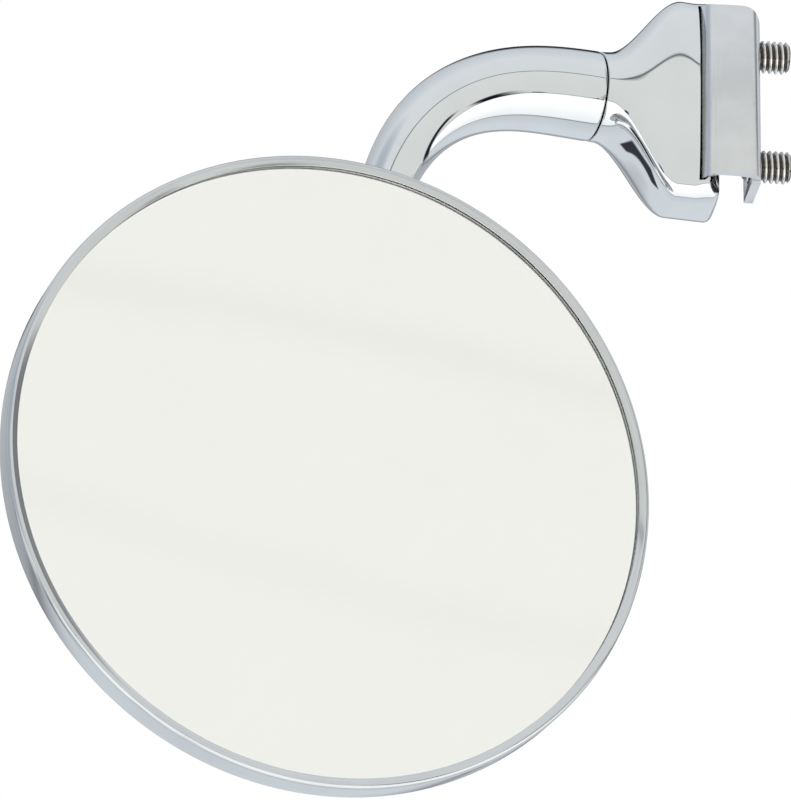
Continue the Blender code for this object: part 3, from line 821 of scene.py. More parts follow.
@dataclass(frozen=True)
class Finishes:
    """All the finishes of the mirror."""

    head_axis: Matrix

    chrome: Finish = ChromePlate("polished_chrome", (0.69, 0.70, 0.70), (0.66, 0.675, 0.68), (0.015, 0.045))
    strip: Finish = RolledSteel("satin_strip", (0.655, 0.66, 0.67), (0.625, 0.63, 0.64), (0.17, 0.25))
    fixing: Finish = PlatedFixing("zinc_plate", (0.80, 0.78, 0.74), (0.66, 0.64, 0.60), (0.08, 0.20))
    spring: Finish = PlatedFixing("spring_steel", (0.34, 0.34, 0.36), (0.24, 0.24, 0.27), (0.25, 0.40))
    nylon: Finish = MouldedFill("natural_nylon", (0.86, 0.85, 0.79), (0.80, 0.78, 0.71), (0.38, 0.52), 0.0)
    rubber: Finish = MouldedFill("black_rubber", (0.035, 0.035, 0.036), (0.02, 0.02, 0.02), (0.70, 0.85), 0.0)
    foam: Finish = MouldedFill(
        "grey_foam", (0.17, 0.17, 0.18), (0.12, 0.12, 0.13), (0.85, 0.95), 0.0, 900.0, 0.2 * MM
    )

    @property
    def glass(self) -> Finish:
        """The mirror's clear glass."""
        light, dark = (0.99, 0.995, 0.99), (0.985, 0.99, 0.985)
        return ClearGlass("float_glass", light, dark, (0.0, 0.10), 0.0, self.head_axis)

    @property
    def spun(self) -> Finish:
        """The head's polished sheet."""
        light, dark = (0.63, 0.64, 0.645), (0.56, 0.57, 0.58)
        return SpunSheet("spun_stainless", light, dark, (0.07, 0.14), axis=self.head_axis)

    @staticmethod
    def thread(side: Side, axis: Matrix) -> Finish:
        """The plating of one set screw."""
        light, dark = (0.84, 0.82, 0.78), (0.66, 0.64, 0.60)
        return CutThread(f"zinc_thread_{side.value}", light, dark, (0.08, 0.18), axis=axis)

    @property
    def silver(self) -> Finish:
        """The mirror's silvering."""
        # The dark colour is painted shade: the lip's shadow on the silver's edge.
        light, dark = (0.93, 0.905, 0.885), (0.06, 0.12, 0.12)
        return Silvering("silvering", light, dark, (0.0, 0.25), axis=self.head_axis)


@dataclass
class SubAssembly:
    """A group of pieces: the frames that they stand in, and the finishes that they wear."""

    places: Places
    finishes: Finishes


# ---------------------------------------------------------------- clamp


@dataclass
class ClampFoot(SubAssembly):
    """The die-cast foot that flares from the arm's round seam to the tall door seat."""

    seam_x: float = -21.0 * MM
    seam_r: float = 7.5 * MM
    seam_edge: float = 0.25 * MM
    seam_gap: float = 0.08 * MM
    seat_centre_y: float = 0.4 * MM
    seat_half_depth: float = 8.8 * MM
    seat_top: float = 17.4 * MM
    seat_bottom: float = 18.9 * MM
    seat_edge: float = 1.3 * MM
    squareness: float = 2.6
    toe_squareness: float = 1.4
    crown: float = 1.1 * MM
    crown_reach: float = 10.0 * MM
    crown_height: float = 5.2 * MM
    sides: int = 112
    stations: int = 72
    bore_r: float = 5.5 * MM
    bore_end: float = -9.2 * MM
    top_flare: Span = (0.08, 0.60)
    bottom_flare: Span = (0.05, 0.58)
    squaring: Span = (0.0, 0.6)
    crest_rise: Span = (0.2, 0.45)
    crest_fall: Span = (0.66, 0.3)
    crown_end: Span = (0.78, 0.17)
    crown_easing: float = 0.7
    pocket_step: tuple[float, float] = (-1.0 * MM, 0.2 * MM)
    pocket_step_depth: float = 1.6 * MM
    pocket_front: float = 4 * MM
    relief_outline: Profile = field(default_factory=lambda: [
        (-3.9 * MM, -9.2 * MM), (0.3 * MM, -4.8 * MM), (4.0 * MM, -4.8 * MM),
        (4.0 * MM, -12.0 * MM), (-3.9 * MM, -12.0 * MM),
    ])
    cut_edge: float = 0.22 * MM

    def ring(self, share: float) -> list[Vector]:
        """One ring of the casting.

        Args:
            share: The way from the seam at 0 to the door seat at 1.

        Returns:
            The ring's points in the row frame.
        """
        arm = self.places.arm
        start = arm @ Vector((self.seam_x + self.seam_gap, 0.0, 0.0))
        centre = start.lerp(Vector((0.0, self.seat_centre_y, 0.0)), share)
        yaw = arm.to_euler().z * (1.0 - share)
        across = Matrix.Rotation(yaw, 3, "Z") @ Vector((0.0, 1.0, 0.0))
        top_flare = rise_over(share, self.top_flare)
        bottom_flare = rise_over(share, self.bottom_flare)
        half_depth = self.seam_r + (self.seat_half_depth - self.seam_r) * top_flare
        rise = self.seam_r + (self.seat_top - self.seam_r) * top_flare
        drop = self.seam_r + (self.seat_bottom - self.seam_r) * bottom_flare
        length = -self.seam_x
        into_seam = max(0.0, 1.0 - share * length / self.seam_edge)
        into_seat = max(0.0, 1.0 - (1.0 - share) * length / self.seat_edge)
        trim = self.seam_edge * (1 - math.sqrt(1 - into_seam**2))
        trim += self.seat_edge * (1 - math.sqrt(1 - into_seat**2))
        squaring = rise_over(share, self.squaring)
        crowned = squaring * (1 - rise_over(share, self.crown_end))
        crest = self.crown_height * rise_over(share, self.crest_rise)
        crest *= 1 - rise_over(share, self.crest_fall)
        points = []
        for step in range(self.sides):
            angle = 2.0 * math.pi * (step + 0.5) / self.sides
            behind_toe = math.cos(angle) > 0 and math.sin(angle) < 0
            squareness = self.toe_squareness if behind_toe else self.squareness
            power = 2.0 / (2.0 + squareness * squaring)
            wide = math.copysign(abs(math.cos(angle)) ** power, math.cos(angle))
            tall = math.copysign(abs(math.sin(angle)) ** power, math.sin(angle))
            height = tall * ((rise if tall > 0 else drop) - trim)
            depth = half_depth - trim
            if wide < 0:
                off = (height - crest) / self.crown_reach
                depth -= self.crown * crowned * off * off / (1.0 + self.crown_easing * off * off)
            points.append(centre + across * wide * depth + Vector((0.0, 0.0, height)))
        return points

    def shares(self) -> list[float]:
        """The rings' shares: close together at both rounded ends, even between."""
        length = -self.seam_x
        near = [self.seam_edge / length * (1 - math.cos(math.radians(90) * k / 5)) for k in range(5)]
        far = [1 - self.seat_edge / length * (1 - math.cos(math.radians(90) * k / 8)) for k in range(8)]
        start = self.seam_edge / length
        end = 1 - self.seat_edge / length
        even = [start + (end - start) * k / self.stations for k in range(self.stations + 1)]
        return near + even + far[::-1]

    def pocket(self) -> Piece:
        """The cutter of the bracket's pocket in the front of the seat."""
        low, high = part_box("clamp_bracket")
        sheet = Bracket.sheet
        left, front = low.x - GAP, low.y - self.pocket_front
        step_start, step_end = self.pocket_step
        step_y = low.y + sheet + GAP + self.pocket_step_depth
        lip_x = low.x + sheet + GAP
        lip_y = low.y + sheet + GAP
        end = low.y + Bracket.flange_depth + GAP
        points = [
            (left, front), (left, end), (lip_x, end), (lip_x, lip_y + GAP), (lip_x + GAP, lip_y),
            (step_start, lip_y), (step_end, step_y), (PAST, step_y), (PAST, front),
        ]
        return slab_piece("pocket", points, low.z - GAP, high.z + GAP, AT_ORIGIN)

    def relief(self) -> Piece:
        """The cutter of the slope beside the seat's front edge."""
        reach = self.seat_bottom + PAST
        return slab_piece("relief", self.relief_outline, -reach, reach, AT_ORIGIN)

    def build(self) -> None:
        """Lofts the casting, carves the bore, pocket, slope and pin holes, and softens the cut edges."""
        rings = [self.ring(share) for share in self.shares()]
        foot = loft_piece("foot_casting", rings, AT_ORIGIN)
        carve(foot, self.relief())
        carve(foot, self.pocket())
        soften_edges(foot, self.cut_edge, 38.0)
        carve(foot, drill(self.bore_r, self.seam_x - PAST, self.bore_end, self.places.swivel, 96))
        for side in Side:
            carve(foot, ClampPins(self.places, self.finishes).hole(side))
            carve(foot, SwivelPins(self.places, self.finishes).hole(side))
        dress(foot, self.finishes.chrome, Body.CLAMP, Slot.CHROME, "clamp_foot", sharp=30.0)


@dataclass
class Bracket(SubAssembly):
    """The steel strip, bent twice, that closes the door slot and carries the set screws."""

    sheet: float = 1.5 * MM
    flange_depth: float = 6.5 * MM
    flange_bend: float = 2.2 * MM
    wall_bend: float = 1.8 * MM
    corner: float = 3.2 * MM
    past: float = 2 * MM
    arch_x: float = 0.5 * MM
    arch_reaches: tuple[float, float] = (3.1 * MM, 9.0 * MM)
    arch_rise: float = 0.9 * MM
    press_mark: float = 0.13 * MM
    screw_hole_r: float = 2.85 * MM
    screw_hole: tuple[float, float] = (3 * MM, 9 * MM)
    edge: float = 0.22 * MM

    def strip(self) -> Profile:
        """The bent strip's outline seen from above."""
        low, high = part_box("clamp_bracket")
        inner_wall = high.x - self.sheet
        wall = Vector((high.x - self.wall_bend, low.y + self.wall_bend))
        flange = Vector((low.x + self.flange_bend, low.y + self.flange_bend))
        end = low.y + self.flange_depth
        points = [(high.x, high.y), (inner_wall, high.y)]
        points += self.bend(wall, self.wall_bend - self.sheet, 0, -90, 6)
        points += self.bend(flange, self.flange_bend - self.sheet, -90, -180, 8)
        points += [(low.x + self.sheet, end), (low.x, end)]
        points += self.bend(flange, self.flange_bend, 180, 270, 14)
        for way, share in ((0.2, 0.7), (0.45, 1.0), (0.75, 0.6), (1.15, 0.0)):
            points.append((flange.x + way * MM, low.y + share * self.press_mark))
        points += self.bend(wall, self.wall_bend, 270, 360, 12)
        return points

    @staticmethod
    def bend(centre: Vector, radius: float, start: float, end: float, steps: int) -> Profile:
        """Points round one bend, between two angles in degrees."""
        turns = [math.radians(start + (end - start) * step / steps) for step in range(steps + 1)]
        return [(centre.x + radius * math.cos(turn), centre.y + radius * math.sin(turn)) for turn in turns]

    def corner_cutter(self) -> Piece:
        """The cutter that rounds the wall's upper corner."""
        low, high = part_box("clamp_bracket")
        centre = Vector((high.x - self.corner, high.z - self.corner))
        points = self.bend(centre, self.corner, 0, 90, 14)
        right, top = high.x + self.past, high.z + self.past
        points += [(centre.x, top), (right, top), (right, centre.y)]
        upright = Matrix.Rotation(math.radians(90), 4, "X")
        return slab_piece("corner", points, -high.y - 5 * MM, -low.y + 5 * MM, upright)

    def arch_cutter(self) -> Piece:
        """The cutter of the shallow arch in the web's lower edge."""
        low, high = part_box("clamp_bracket")
        left, right = self.arch_reaches
        start, end = self.arch_x - left, high.x + 1 * MM
        points = []
        for step in range(41):
            x = start + (end - start) * step / 40
            off = (x - self.arch_x) / (left if x < self.arch_x else right)
            points.append((x, low.z + self.arch_rise * (1.0 - off * off)))
        points += [(end, low.z - self.past), (start, low.z - self.past)]
        upright = Matrix.Rotation(math.radians(90), 4, "X")
        return slab_piece("arch", points, -low.y - self.sheet - 0.3 * MM, -low.y + 2 * MM, upright)

    def build(self) -> None:
        """Bends the strip, trims it, drills it and softens its sheared edges."""
        low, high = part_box("clamp_bracket")
        bracket = slab_piece("clamp_strip", self.strip(), low.z, high.z, AT_ORIGIN)
        carve(bracket, self.corner_cutter())
        carve(bracket, self.arch_cutter())
        for side in Side:
            carve(bracket, drill(self.screw_hole_r, *self.screw_hole, self.places.screw(side), 64))
            carve(bracket, ClampPins(self.places, self.finishes).hole(side))
        soften_edges(bracket, self.edge, 35.0)
        dress(bracket, self.finishes.strip, Body.CLAMP, Slot.SATIN_STEEL, "clamp_bracket", sharp=30.0)


@dataclass
class PinPair(SubAssembly):
    """Two like pins, the upper and the lower, each in a drilled hole."""

    piece_name: str = "pin"
    node_name: str = "pin"
    radius: float = 1.0 * MM
    clearance: float = 0.12 * MM
    past: float = PAST
    ends: tuple[float, float] = (0.0, 0.0)

    def axis(self, side: Side) -> Matrix:
        """The lathe axis of one pin."""
        raise NotImplementedError

    def outline(self) -> Profile:
        """A pin's profile."""
        raise NotImplementedError

    def hole(self, side: Side) -> Piece:
        """The cutter of one pin's hole."""
        low, high = self.ends
        return drill(self.radius + self.clearance, low - GAP, high + self.past, self.axis(side))

    def build(self) -> None:
        """Turns both pins."""
        for side in Side:
            pin = turn_piece(f"{self.piece_name}_{side.value}", self.outline(), self.axis(side), 40)
            node = f"{self.node_name}_{side.value}"
            dress(pin, self.finishes.fixing, Body.CLAMP, Slot.ZINC_STEEL, node)


@dataclass
class ClampPins(PinPair):
    """The two pins that hold the bracket's flange in the foot."""

    piece_name: str = "strip_pin"
    node_name: str = "bracket_pin"
    radius: float = 1.2 * MM
    chamfer: float = 0.2 * MM
    dome: float = 0.4 * MM
    ends: tuple[float, float] = (-8.0 * MM, -0.4 * MM)

    def axis(self, side: Side) -> Matrix:
        """The pin's lathe axis."""
        return self.places.along_x(f"{self.node_name}_{side.value}")

    def outline(self) -> Profile:
        """A chamfered inner end and a domed head end."""
        low, high = self.ends
        return rounded([
            (0.0, low, 0), (self.radius - self.chamfer, low, 0), (self.radius, low + self.chamfer, 0),
            (self.radius, high, self.dome), (0.0, high, 0),
        ], 6)


@dataclass
class SwivelPins(PinPair):
    """The two cross pins that hold the arm's spigot in the neck, in holes open at its back."""

    piece_name: str = "cross_pin"
    node_name: str = "swivel_pin"
    x: float = -13.5 * MM
    height: float = 4.4 * MM
    past: float = 4 * MM
    rounding: float = 0.3 * MM
    ends: tuple[float, float] = (-4.5 * MM, 7.2 * MM)

    def axis(self, side: Side) -> Matrix:
        """The pin's lathe axis, from front to back of the neck."""
        sign = 1 if side is Side.UPPER else -1
        middle = Matrix.Translation((self.x, 0.0, sign * self.height))
        return self.places.arm @ middle @ Matrix.Rotation(math.radians(-90), 4, "X")

    def outline(self) -> Profile:
        """Two rounded ends."""
        low, high = self.ends
        return rounded([
            (0.0, low, 0), (self.radius, low, self.rounding),
            (self.radius, high, self.rounding), (0.0, high, 0),
        ])


@dataclass
class SetScrew(SubAssembly):
    """A set screw with a cut thread, chamfered ends, a hexagon socket and a soft tip."""

    side: Side
    crest_r: float = 2.69 * MM
    root_r: float = 2.16 * MM
    pitch: float = 1.0 * MM
    low: float = 4.3 * MM
    high: float = 12.1 * MM
    chamfer: float = 0.6 * MM
    flats: float = 3.0 * MM
    socket_depth: float = 3.5 * MM
    socket_turn: float = 8.0
    countersink: float = 0.35 * MM
    skim: float = 0.03 * MM
    tip_r: float = 1.4 * MM
    tip_length: float = 2.0 * MM
    tip_clearance: float = 0.1 * MM
    tip_stands_out: float = 0.05 * MM
    past_nose: float = 1 * MM
    sides: int = 72
    rows_per_turn: int = 16

    def thread_radius(self, height: float, turn: float) -> float:
        """The thread's radius at a height along the screw and a turn about it, in radians."""
        phase = (height / self.pitch - turn / (2 * math.pi)) % 1.0
        slope = abs(2.0 * phase - 1.0)
        crest = min(max((slope - 0.12) / 0.70, 0.0), 1.0)
        cut = self.root_r + (self.crest_r - self.root_r) * (crest * 0.85 + 0.15 * smoothstep(crest))
        end = min(height - self.low, self.high - height)
        limit = self.crest_r - self.chamfer + max(end, 0.0)
        return min(cut, limit)

    def build(self) -> None:
        """Draws out the threaded bar, cuts its hexagon and its nose hole, and turns the tip."""
        count = round((self.high - self.low) / self.pitch * self.rows_per_turn)
        rings = []
        for row in range(count + 1):
            height = self.low + (self.high - self.low) * row / count
            ring = []
            for step in range(self.sides):
                turn = 2 * math.pi * step / self.sides
                radius = self.thread_radius(height, turn)
                ring.append(Vector((radius * math.cos(turn), radius * math.sin(turn), height)))
            rings.append(ring)
        place = self.places.screw(self.side)
        screw = loft_piece(f"threaded_screw_{self.side.value}", rings, place)
        across = self.flats / math.sqrt(3)
        turns = [math.radians(60 * step + self.socket_turn) for step in range(6)]
        hexagon = [(across * math.cos(turn), across * math.sin(turn)) for turn in turns]
        carve(screw, slab_piece("hexagon", hexagon, self.high - self.socket_depth, self.high + PAST, place))
        floor, top = self.high - self.countersink, self.high + self.skim
        cone = [(0.0, floor), (across + 0.02 * MM, floor), (across + 0.4 * MM, top), (0.0, top)]
        carve(screw, turn_piece("countersink", cone, place, 60))
        nose = self.low + self.tip_length + GAP
        carve(screw, drill(self.tip_r + self.tip_clearance, self.low - self.past_nose, nose, place, 48))
        which = self.side.value
        finish = self.finishes.thread(self.side, place)
        dress(screw, finish, Body(f"screw_{which}"), Slot.ZINC_STEEL, f"set_screw_{which}", sharp=40.0)
        low = self.low - self.tip_stands_out
        high = low + self.tip_length
        corners = [
            (0.0, low, 0), (self.tip_r, low, 0.35 * MM), (self.tip_r, high, 0.1 * MM), (0.0, high, 0),
        ]
        tip = turn_piece(f"soft_tip_{which}", rounded(corners, 6), place, 40)
        dress(tip, self.finishes.nylon, Body(f"tip_{which}"), Slot.NYLON, f"screw_tip_{which}")


# ---------------------------------------------------------------- arm


@dataclass
class CurvedArm(SubAssembly):
    """The chrome arm, which bends down behind the head and tapers to the ball stud."""

    seam_x: float = -21.0 * MM
    seam_r: float = 7.5 * MM
    tip_r: float = 4.2 * MM
    straight: float = 1.7 * MM
    bend: float = 49.6 * MM
    taper_to: float = 53.8 * MM
    head_x: float = -73.0 * MM
    head_z: float = -82.6 * MM
    past_head: float = 1.6 * MM
    seam_edge: float = 0.6 * MM
    seam_gap: float = 0.05 * MM
    bend_steps: int = 96
    sides: int = 96
    spigot_r: float = 4.2 * MM
    spigot_end: float = -10.4 * MM
    groove_r: float = 3.1 * MM
    groove: tuple[float, float] = (-14.8 * MM, -12.2 * MM)
    spot_face: float = 26.2 * MM
    spot_r: float = 4.2 * MM
    stud_hole_r: float = 2.75 * MM
    stud_end: float = 31.9 * MM

    def radius(self, travel: float) -> float:
        """The arm's radius at a distance along its centre line."""
        return self.seam_r + (self.tip_r - self.seam_r) * smoothstep(travel / self.taper_to)

    def bend_line(self, turn: float) -> list[tuple[float, float, float, float]]:
        """(x, z, heading, travel) down the bend, whose heading eases from level to the full turn."""
        x = self.seam_x - self.straight
        z = 0.0
        line = [(x, z, 0.0, self.straight)]
        length = self.bend / self.bend_steps
        for step in range(self.bend_steps):
            middle = turn * smoothstep((step + 0.5) / self.bend_steps)
            x -= length * math.cos(middle)
            z -= length * math.sin(middle)
            heading = turn * smoothstep((step + 1) / self.bend_steps)
            line.append((x, z, heading, self.straight + length * (step + 1)))
        return line

    def stations(self) -> list[tuple[float, float, float, float]]:
        """(x, z, heading, radius) of every ring, from the seam to the rounded tip."""
        turn = math.radians(75)
        for _ in range(20):
            x, z, _, _ = self.bend_line(turn)[-1]
            turn = math.atan2(z - self.head_z, x - self.head_x)
        start = self.seam_x - self.seam_gap
        rings = []
        for step in range(11):
            lean = math.radians(90) * step / 10
            trim = self.seam_edge * (1 - math.sin(lean))
            rings.append((start - self.seam_edge * (1 - math.cos(lean)), 0.0, 0.0, self.seam_r - trim))
        rings += [(x, z, heading, self.radius(travel)) for x, z, heading, travel in self.bend_line(turn)]
        x, z, _, bent = self.bend_line(turn)[-1]
        tail = math.hypot(self.head_x - x, self.head_z - z)
        ways = [(tail * step / 16, self.radius(bent + tail * step / 16)) for step in range(1, 17)]
        for step in range(13):
            lean = math.radians(89) * step / 12
            ways.append((tail + self.past_head + self.tip_r * math.sin(lean), self.tip_r * math.cos(lean)))
        rings += [(x - way * math.cos(turn), z - way * math.sin(turn), turn, radius) for way, radius in ways]
        return rings

    def build(self) -> None:
        """Draws the arm out ring by ring, joins its grooved spigot and bores the stud's seat."""
        rings = []
        for x, z, heading, radius in self.stations():
            up = Vector((-math.sin(heading), 0.0, math.cos(heading)))
            side = Vector((0.0, 1.0, 0.0))
            centre = Vector((x, 0.0, z))
            turns = [2 * math.pi * step / self.sides for step in range(self.sides)]
            rings.append([centre + (up * math.cos(turn) + side * math.sin(turn)) * radius for turn in turns])
        arm = loft_piece("curved_arm", rings, self.places.arm)
        low, high = self.groove
        spigot = [
            (0.0, self.seam_x - PAST, 0), (self.spigot_r, self.seam_x - PAST, 0),
            (self.spigot_r, low, 0.1 * MM),
            (self.groove_r, low, 0.1 * MM), (self.groove_r, high, 0.1 * MM), (self.spigot_r, high, 0.1 * MM),
            (self.spigot_r, self.spigot_end, 0.3 * MM), (0.0, self.spigot_end, 0),
        ]
        carve(arm, turn_piece("spigot", rounded(spigot, 3), self.places.swivel, 64), "UNION")
        far = self.spot_face - 5 * MM
        carve(arm, drill(self.stud_hole_r, far, self.stud_end + GAP, self.places.head, 64))
        carve(arm, drill(self.spot_r, far, self.spot_face, self.places.head, 80))
        dress(arm, self.finishes.chrome, Body.ARM, Slot.CHROME, "arm", sharp=30.0)
        BallStud(self.places, self.finishes).build()


@dataclass
class BallStud(SubAssembly):
    """The ball stud screwed into the arm's tip, with its collar and its washer."""

    ball_r: float = 5.0 * MM
    neck_r: float = 2.3 * MM
    collar_r: float = 3.6 * MM
    collar: tuple[float, float] = (24.3 * MM, 25.1 * MM)
    shank_r: float = 2.6 * MM
    end: float = 31.9 * MM
    washer: float = 0.5 * MM
    washer_edge: float = 0.08 * MM

    def build(self) -> None:
        """Turns the stud and its spring washer."""
        low, high = self.collar
        depth = self.places.ball_depth
        neck = math.degrees(math.asin(self.neck_r / self.ball_r))
        corners = [
            (0.0, self.end, 0), (self.shank_r, self.end, 0.4 * MM), (self.shank_r, high, 0),
            (self.collar_r, high, 0.15 * MM), (self.collar_r, low, 0.2 * MM),
            (self.neck_r, low, 0.4 * MM), (self.neck_r, low - 0.8 * MM, 0),
        ]
        profile = rounded(corners, 4) + sphere_points(self.ball_r, depth, neck, 180, 32)
        stud = turn_piece("ball_ended_stud", profile, self.places.head, 72)
        dress(stud, self.finishes.fixing, Body.ARM, Slot.ZINC_STEEL, "ball_stud")
        near, far = high + GAP, high + GAP + self.washer
        inner, outer = self.shank_r + GAP, self.collar_r
        square = ((inner, near), (outer, near), (outer, far), (inner, far))
        corners = [(radius, depth, self.washer_edge) for radius, depth in square]
        washer = turn_piece("locking_washer", rounded(corners, 3), self.places.head, 72)
        dress(washer, self.finishes.spring, Body.ARM, Slot.SPRING_STEEL, "stud_washer")


# ---------------------------------------------------------------- head


@dataclass
class MirrorHead(SubAssembly):
    """The round head: rolled bezel, silvered glass, pressed back shell and riveted ball socket."""

    rim_r: float = 50.8 * MM
    lip_r: float = 49.1 * MM
    rim_front: float = -0.8 * MM
    rim_back: float = 4.4 * MM
    rim_sheet: float = 0.5 * MM
    crimp_r: float = 48.0 * MM
    glass_r: float = 49.5 * MM
    glass_depth: float = 2.0 * MM
    clear_sheet: float = 0.8 * MM
    shell_sheet: float = 0.6 * MM
    flange_r: float = 49.6 * MM
    flange_depth: float = 3.0 * MM
    shell_rise: float = 8.0 * MM
    mouth_r: float = 46.4 * MM
    flat_r: float = 17.0 * MM
    hole_r: float = 8.6 * MM
    liner_r: float = 6.5 * MM
    housing_sheet: float = 1.0 * MM
    plate_r: float = 15.5 * MM
    rivet_circle: float = 12.0 * MM
    rivet_r: float = 1.3 * MM
    rivet_clearance: float = 0.1 * MM
    rivet_head_r: float = 2.2 * MM
    rivet_crown: float = 1.1 * MM
    round_steps: int = 192

    def bezel(self) -> None:
        """The rolled rim: crimped behind, round at its front corner, with a lip sloped to the glass."""
        inner = self.flange_r + GAP
        sheet = self.rim_sheet
        corners = [
            (self.crimp_r, self.rim_back, 0.1 * MM),
            (self.rim_r, self.rim_back, 0.6 * MM),
            (self.rim_r, self.rim_front, 0.85 * MM),
            (self.lip_r + 1.0 * MM, self.rim_front, 0.5 * MM),
            (self.lip_r, self.rim_front + 0.42 * MM, 0.1 * MM),
            (self.lip_r, self.rim_front + sheet + 0.15 * MM, 0.08 * MM),
            (inner, self.rim_front + sheet + 0.15 * MM, 0.1 * MM),
            (inner, self.rim_back - sheet, 0.2 * MM),
            (self.crimp_r, self.rim_back - sheet, 0.1 * MM),
        ]
        rim = turn_piece("rolled_bezel", rounded(corners, 8), self.places.head, self.round_steps)
        dress(rim, self.finishes.spun, Body.HEAD, Slot.STAINLESS, "bezel_ring", sharp=40.0)

    def glass(self) -> None:
        """The clear glass with ground edges, and its silvered and painted backing."""
        silver_low = self.clear_sheet
        edge = 0.2 * MM
        corners = [
            (0.0, 0.0, 0), (self.glass_r - edge, 0.0, 0.05 * MM), (self.glass_r, edge, 0.05 * MM),
            (self.glass_r, silver_low - edge, 0), (self.glass_r - edge, silver_low, 0), (0.0, silver_low, 0),
        ]
        glass = turn_piece("silvered_glass", rounded(corners, 3), self.places.head, self.round_steps)
        dress(glass, self.finishes.glass, Body.HEAD, Slot.MIRROR, "mirror_glass", sharp=20.0)
        near = silver_low + 0.01 * MM
        silver_r = self.glass_r - 0.2 * MM
        profile = [(0.0, near), (silver_r, near), (silver_r, self.glass_depth), (0.0, self.glass_depth)]
        silver = turn_piece("silvered_backing", profile, self.places.head, self.round_steps)
        dress(silver, self.finishes.silver, Body.HEAD, Slot.MIRROR, sharp=30.0)

    def shell_side(self, offset: float) -> Profile:
        """The bowl's curve from its flat centre to its mouth, set off outwards by a thickness."""
        points = []
        for step in range(25):
            turn = math.radians(90) * step / 24
            sweep = self.mouth_r - self.flat_r
            radius = self.flat_r + (sweep + offset) * math.sin(turn)
            rise = self.shell_rise * math.cos(turn)
            points.append((radius, self.flange_depth + offset + rise))
        return points

    def hole(self, index: int, low: float, high: float) -> Piece:
        """The cutter of one rivet hole."""
        return drill(self.rivet_r + self.rivet_clearance, low, high, self.rivet_axis(index))

    def rivet_axis(self, index: int) -> Matrix:
        """A rivet's lathe axis on the rivet circle."""
        turn = math.radians(90 + 120 * index)
        place = (self.rivet_circle * math.cos(turn), self.rivet_circle * math.sin(turn), 0.0)
        return self.places.head @ Matrix.Translation(place)

    def shell(self) -> None:
        """The pressed bowl with its flange, its round hole for the ball and its rivet holes."""
        flange_back = self.flange_depth + self.shell_sheet
        flat = flange_back + self.shell_rise
        profile = [(self.hole_r, flat)] + self.shell_side(self.shell_sheet)
        profile += [(self.flange_r, flange_back), (self.flange_r, self.flange_depth)]
        profile += self.shell_side(0.0)[::-1] + [(self.hole_r, flat - self.shell_sheet)]
        shell = turn_piece("pressed_shell", profile, self.places.head, self.round_steps)
        for index in range(3):
            carve(shell, self.hole(index, flat - 3 * MM, flat + 3 * MM))
        dress(shell, self.finishes.spun, Body.HEAD, Slot.STAINLESS, "back_shell", sharp=30.0)

    def socket(self) -> None:
        """The domed housing that holds the ball, and its three rivets."""
        shell_back = self.flange_depth + self.shell_rise + self.shell_sheet
        low = shell_back + GAP
        high = low + self.shell_sheet
        inner = self.liner_r + GAP
        outer = inner + self.housing_sheet
        depth = self.places.ball_depth
        profile = sphere_points(outer, depth, 50, 90, 14)
        profile += rounded([
            (outer, depth - 0.1 * MM, 0), (outer, high, 0.35 * MM), (self.plate_r, high, 0.25 * MM),
            (self.plate_r, low, 0.15 * MM), (inner, low, 0),
        ])
        profile += sphere_points(inner, depth, 90, 50, 14)
        housing = turn_piece("ball_housing", profile, self.places.head, 128)
        for index in range(3):
            carve(housing, self.hole(index, low - 3 * MM, high + 3 * MM))
        dress(housing, self.finishes.spun, Body.HEAD, Slot.STAINLESS, "socket_housing", sharp=30.0)
        head_high = high + GAP
        crown = head_high + self.rivet_crown
        head_low = shell_back - 2 * self.shell_sheet - 2 * GAP
        corners = [
            (0.0, crown, 0), (self.rivet_head_r * 0.62, crown - 0.08 * MM, 0.6 * MM),
            (self.rivet_head_r, head_high + 0.45 * MM, 0.4 * MM), (self.rivet_head_r, head_high, 0.1 * MM),
            (self.rivet_r, head_high, 0), (self.rivet_r, head_low, 0),
            (self.rivet_head_r, head_low, 0.1 * MM),
            (self.rivet_head_r - 0.3 * MM, head_low - 0.8 * MM, 0.4 * MM), (0.0, head_low - 0.9 * MM, 0),
        ]
        for index in range(3):
            rivet = turn_piece(f"domed_rivet_{index + 1}", rounded(corners, 6), self.rivet_axis(index), 48)
            dress(rivet, self.finishes.fixing, Body.HEAD, Slot.ZINC_STEEL, f"socket_rivet_{index + 1}")

    def build(self) -> None:
        """Builds every piece of the head."""
        self.bezel()
        self.glass()
        self.shell()
        self.socket()


@dataclass
class CarriedNodes:
    """The inner CAD nodes whose shape is kept, with the finish of each."""

    finishes: Finishes

    def build(self) -> None:
        """Dresses every kept node."""
        kept = {
            "swivel_bush": self.finishes.nylon,
            "swivel_spring_washer": self.finishes.spring,
            "ball_seat_ring": self.finishes.nylon,
            "pressure_cup": self.finishes.nylon,
            "socket_spring": self.finishes.spring,
            "spring_cup": self.finishes.spun,
            "glass_gasket": self.finishes.rubber,
            "backing_pad": self.finishes.foam,
        }
        for name, finish in kept.items():
            node = frame["nodes"][name]
            node.data.materials.clear()
            node.data.materials.append(finish.material())
            log.info("%s keeps its shape", name)


# ---------------------------------------------------------------- studio


class Measure(Enum):
    """What places a card's edge: a direction of the arm's frame, or the band's angle about the arm."""

    ALONG = (1.0, 0.0, 0.0)
    FRONT = (0.0, -1.0, 0.0)
    UP = (0.0, 0.0, 1.0)
    TILT = (-0.066, 0.223, -0.972)
    BAND = None


@dataclass(frozen=True)
class Edge:
    """A card's soft edge, between where the card has no weight and where it has all of it."""

    kind: Measure
    outside: float
    inside: float


@dataclass(frozen=True)
class Card:
    """A dark card with straight soft edges."""

    colour: Colour
    edges: tuple[Edge, ...]


@dataclass(frozen=True)
class Flag:
    """A dark round card: where it stands, its soft edge in degrees, and its colour."""

    way: Colour
    inner: float
    outer: float
    colour: Colour


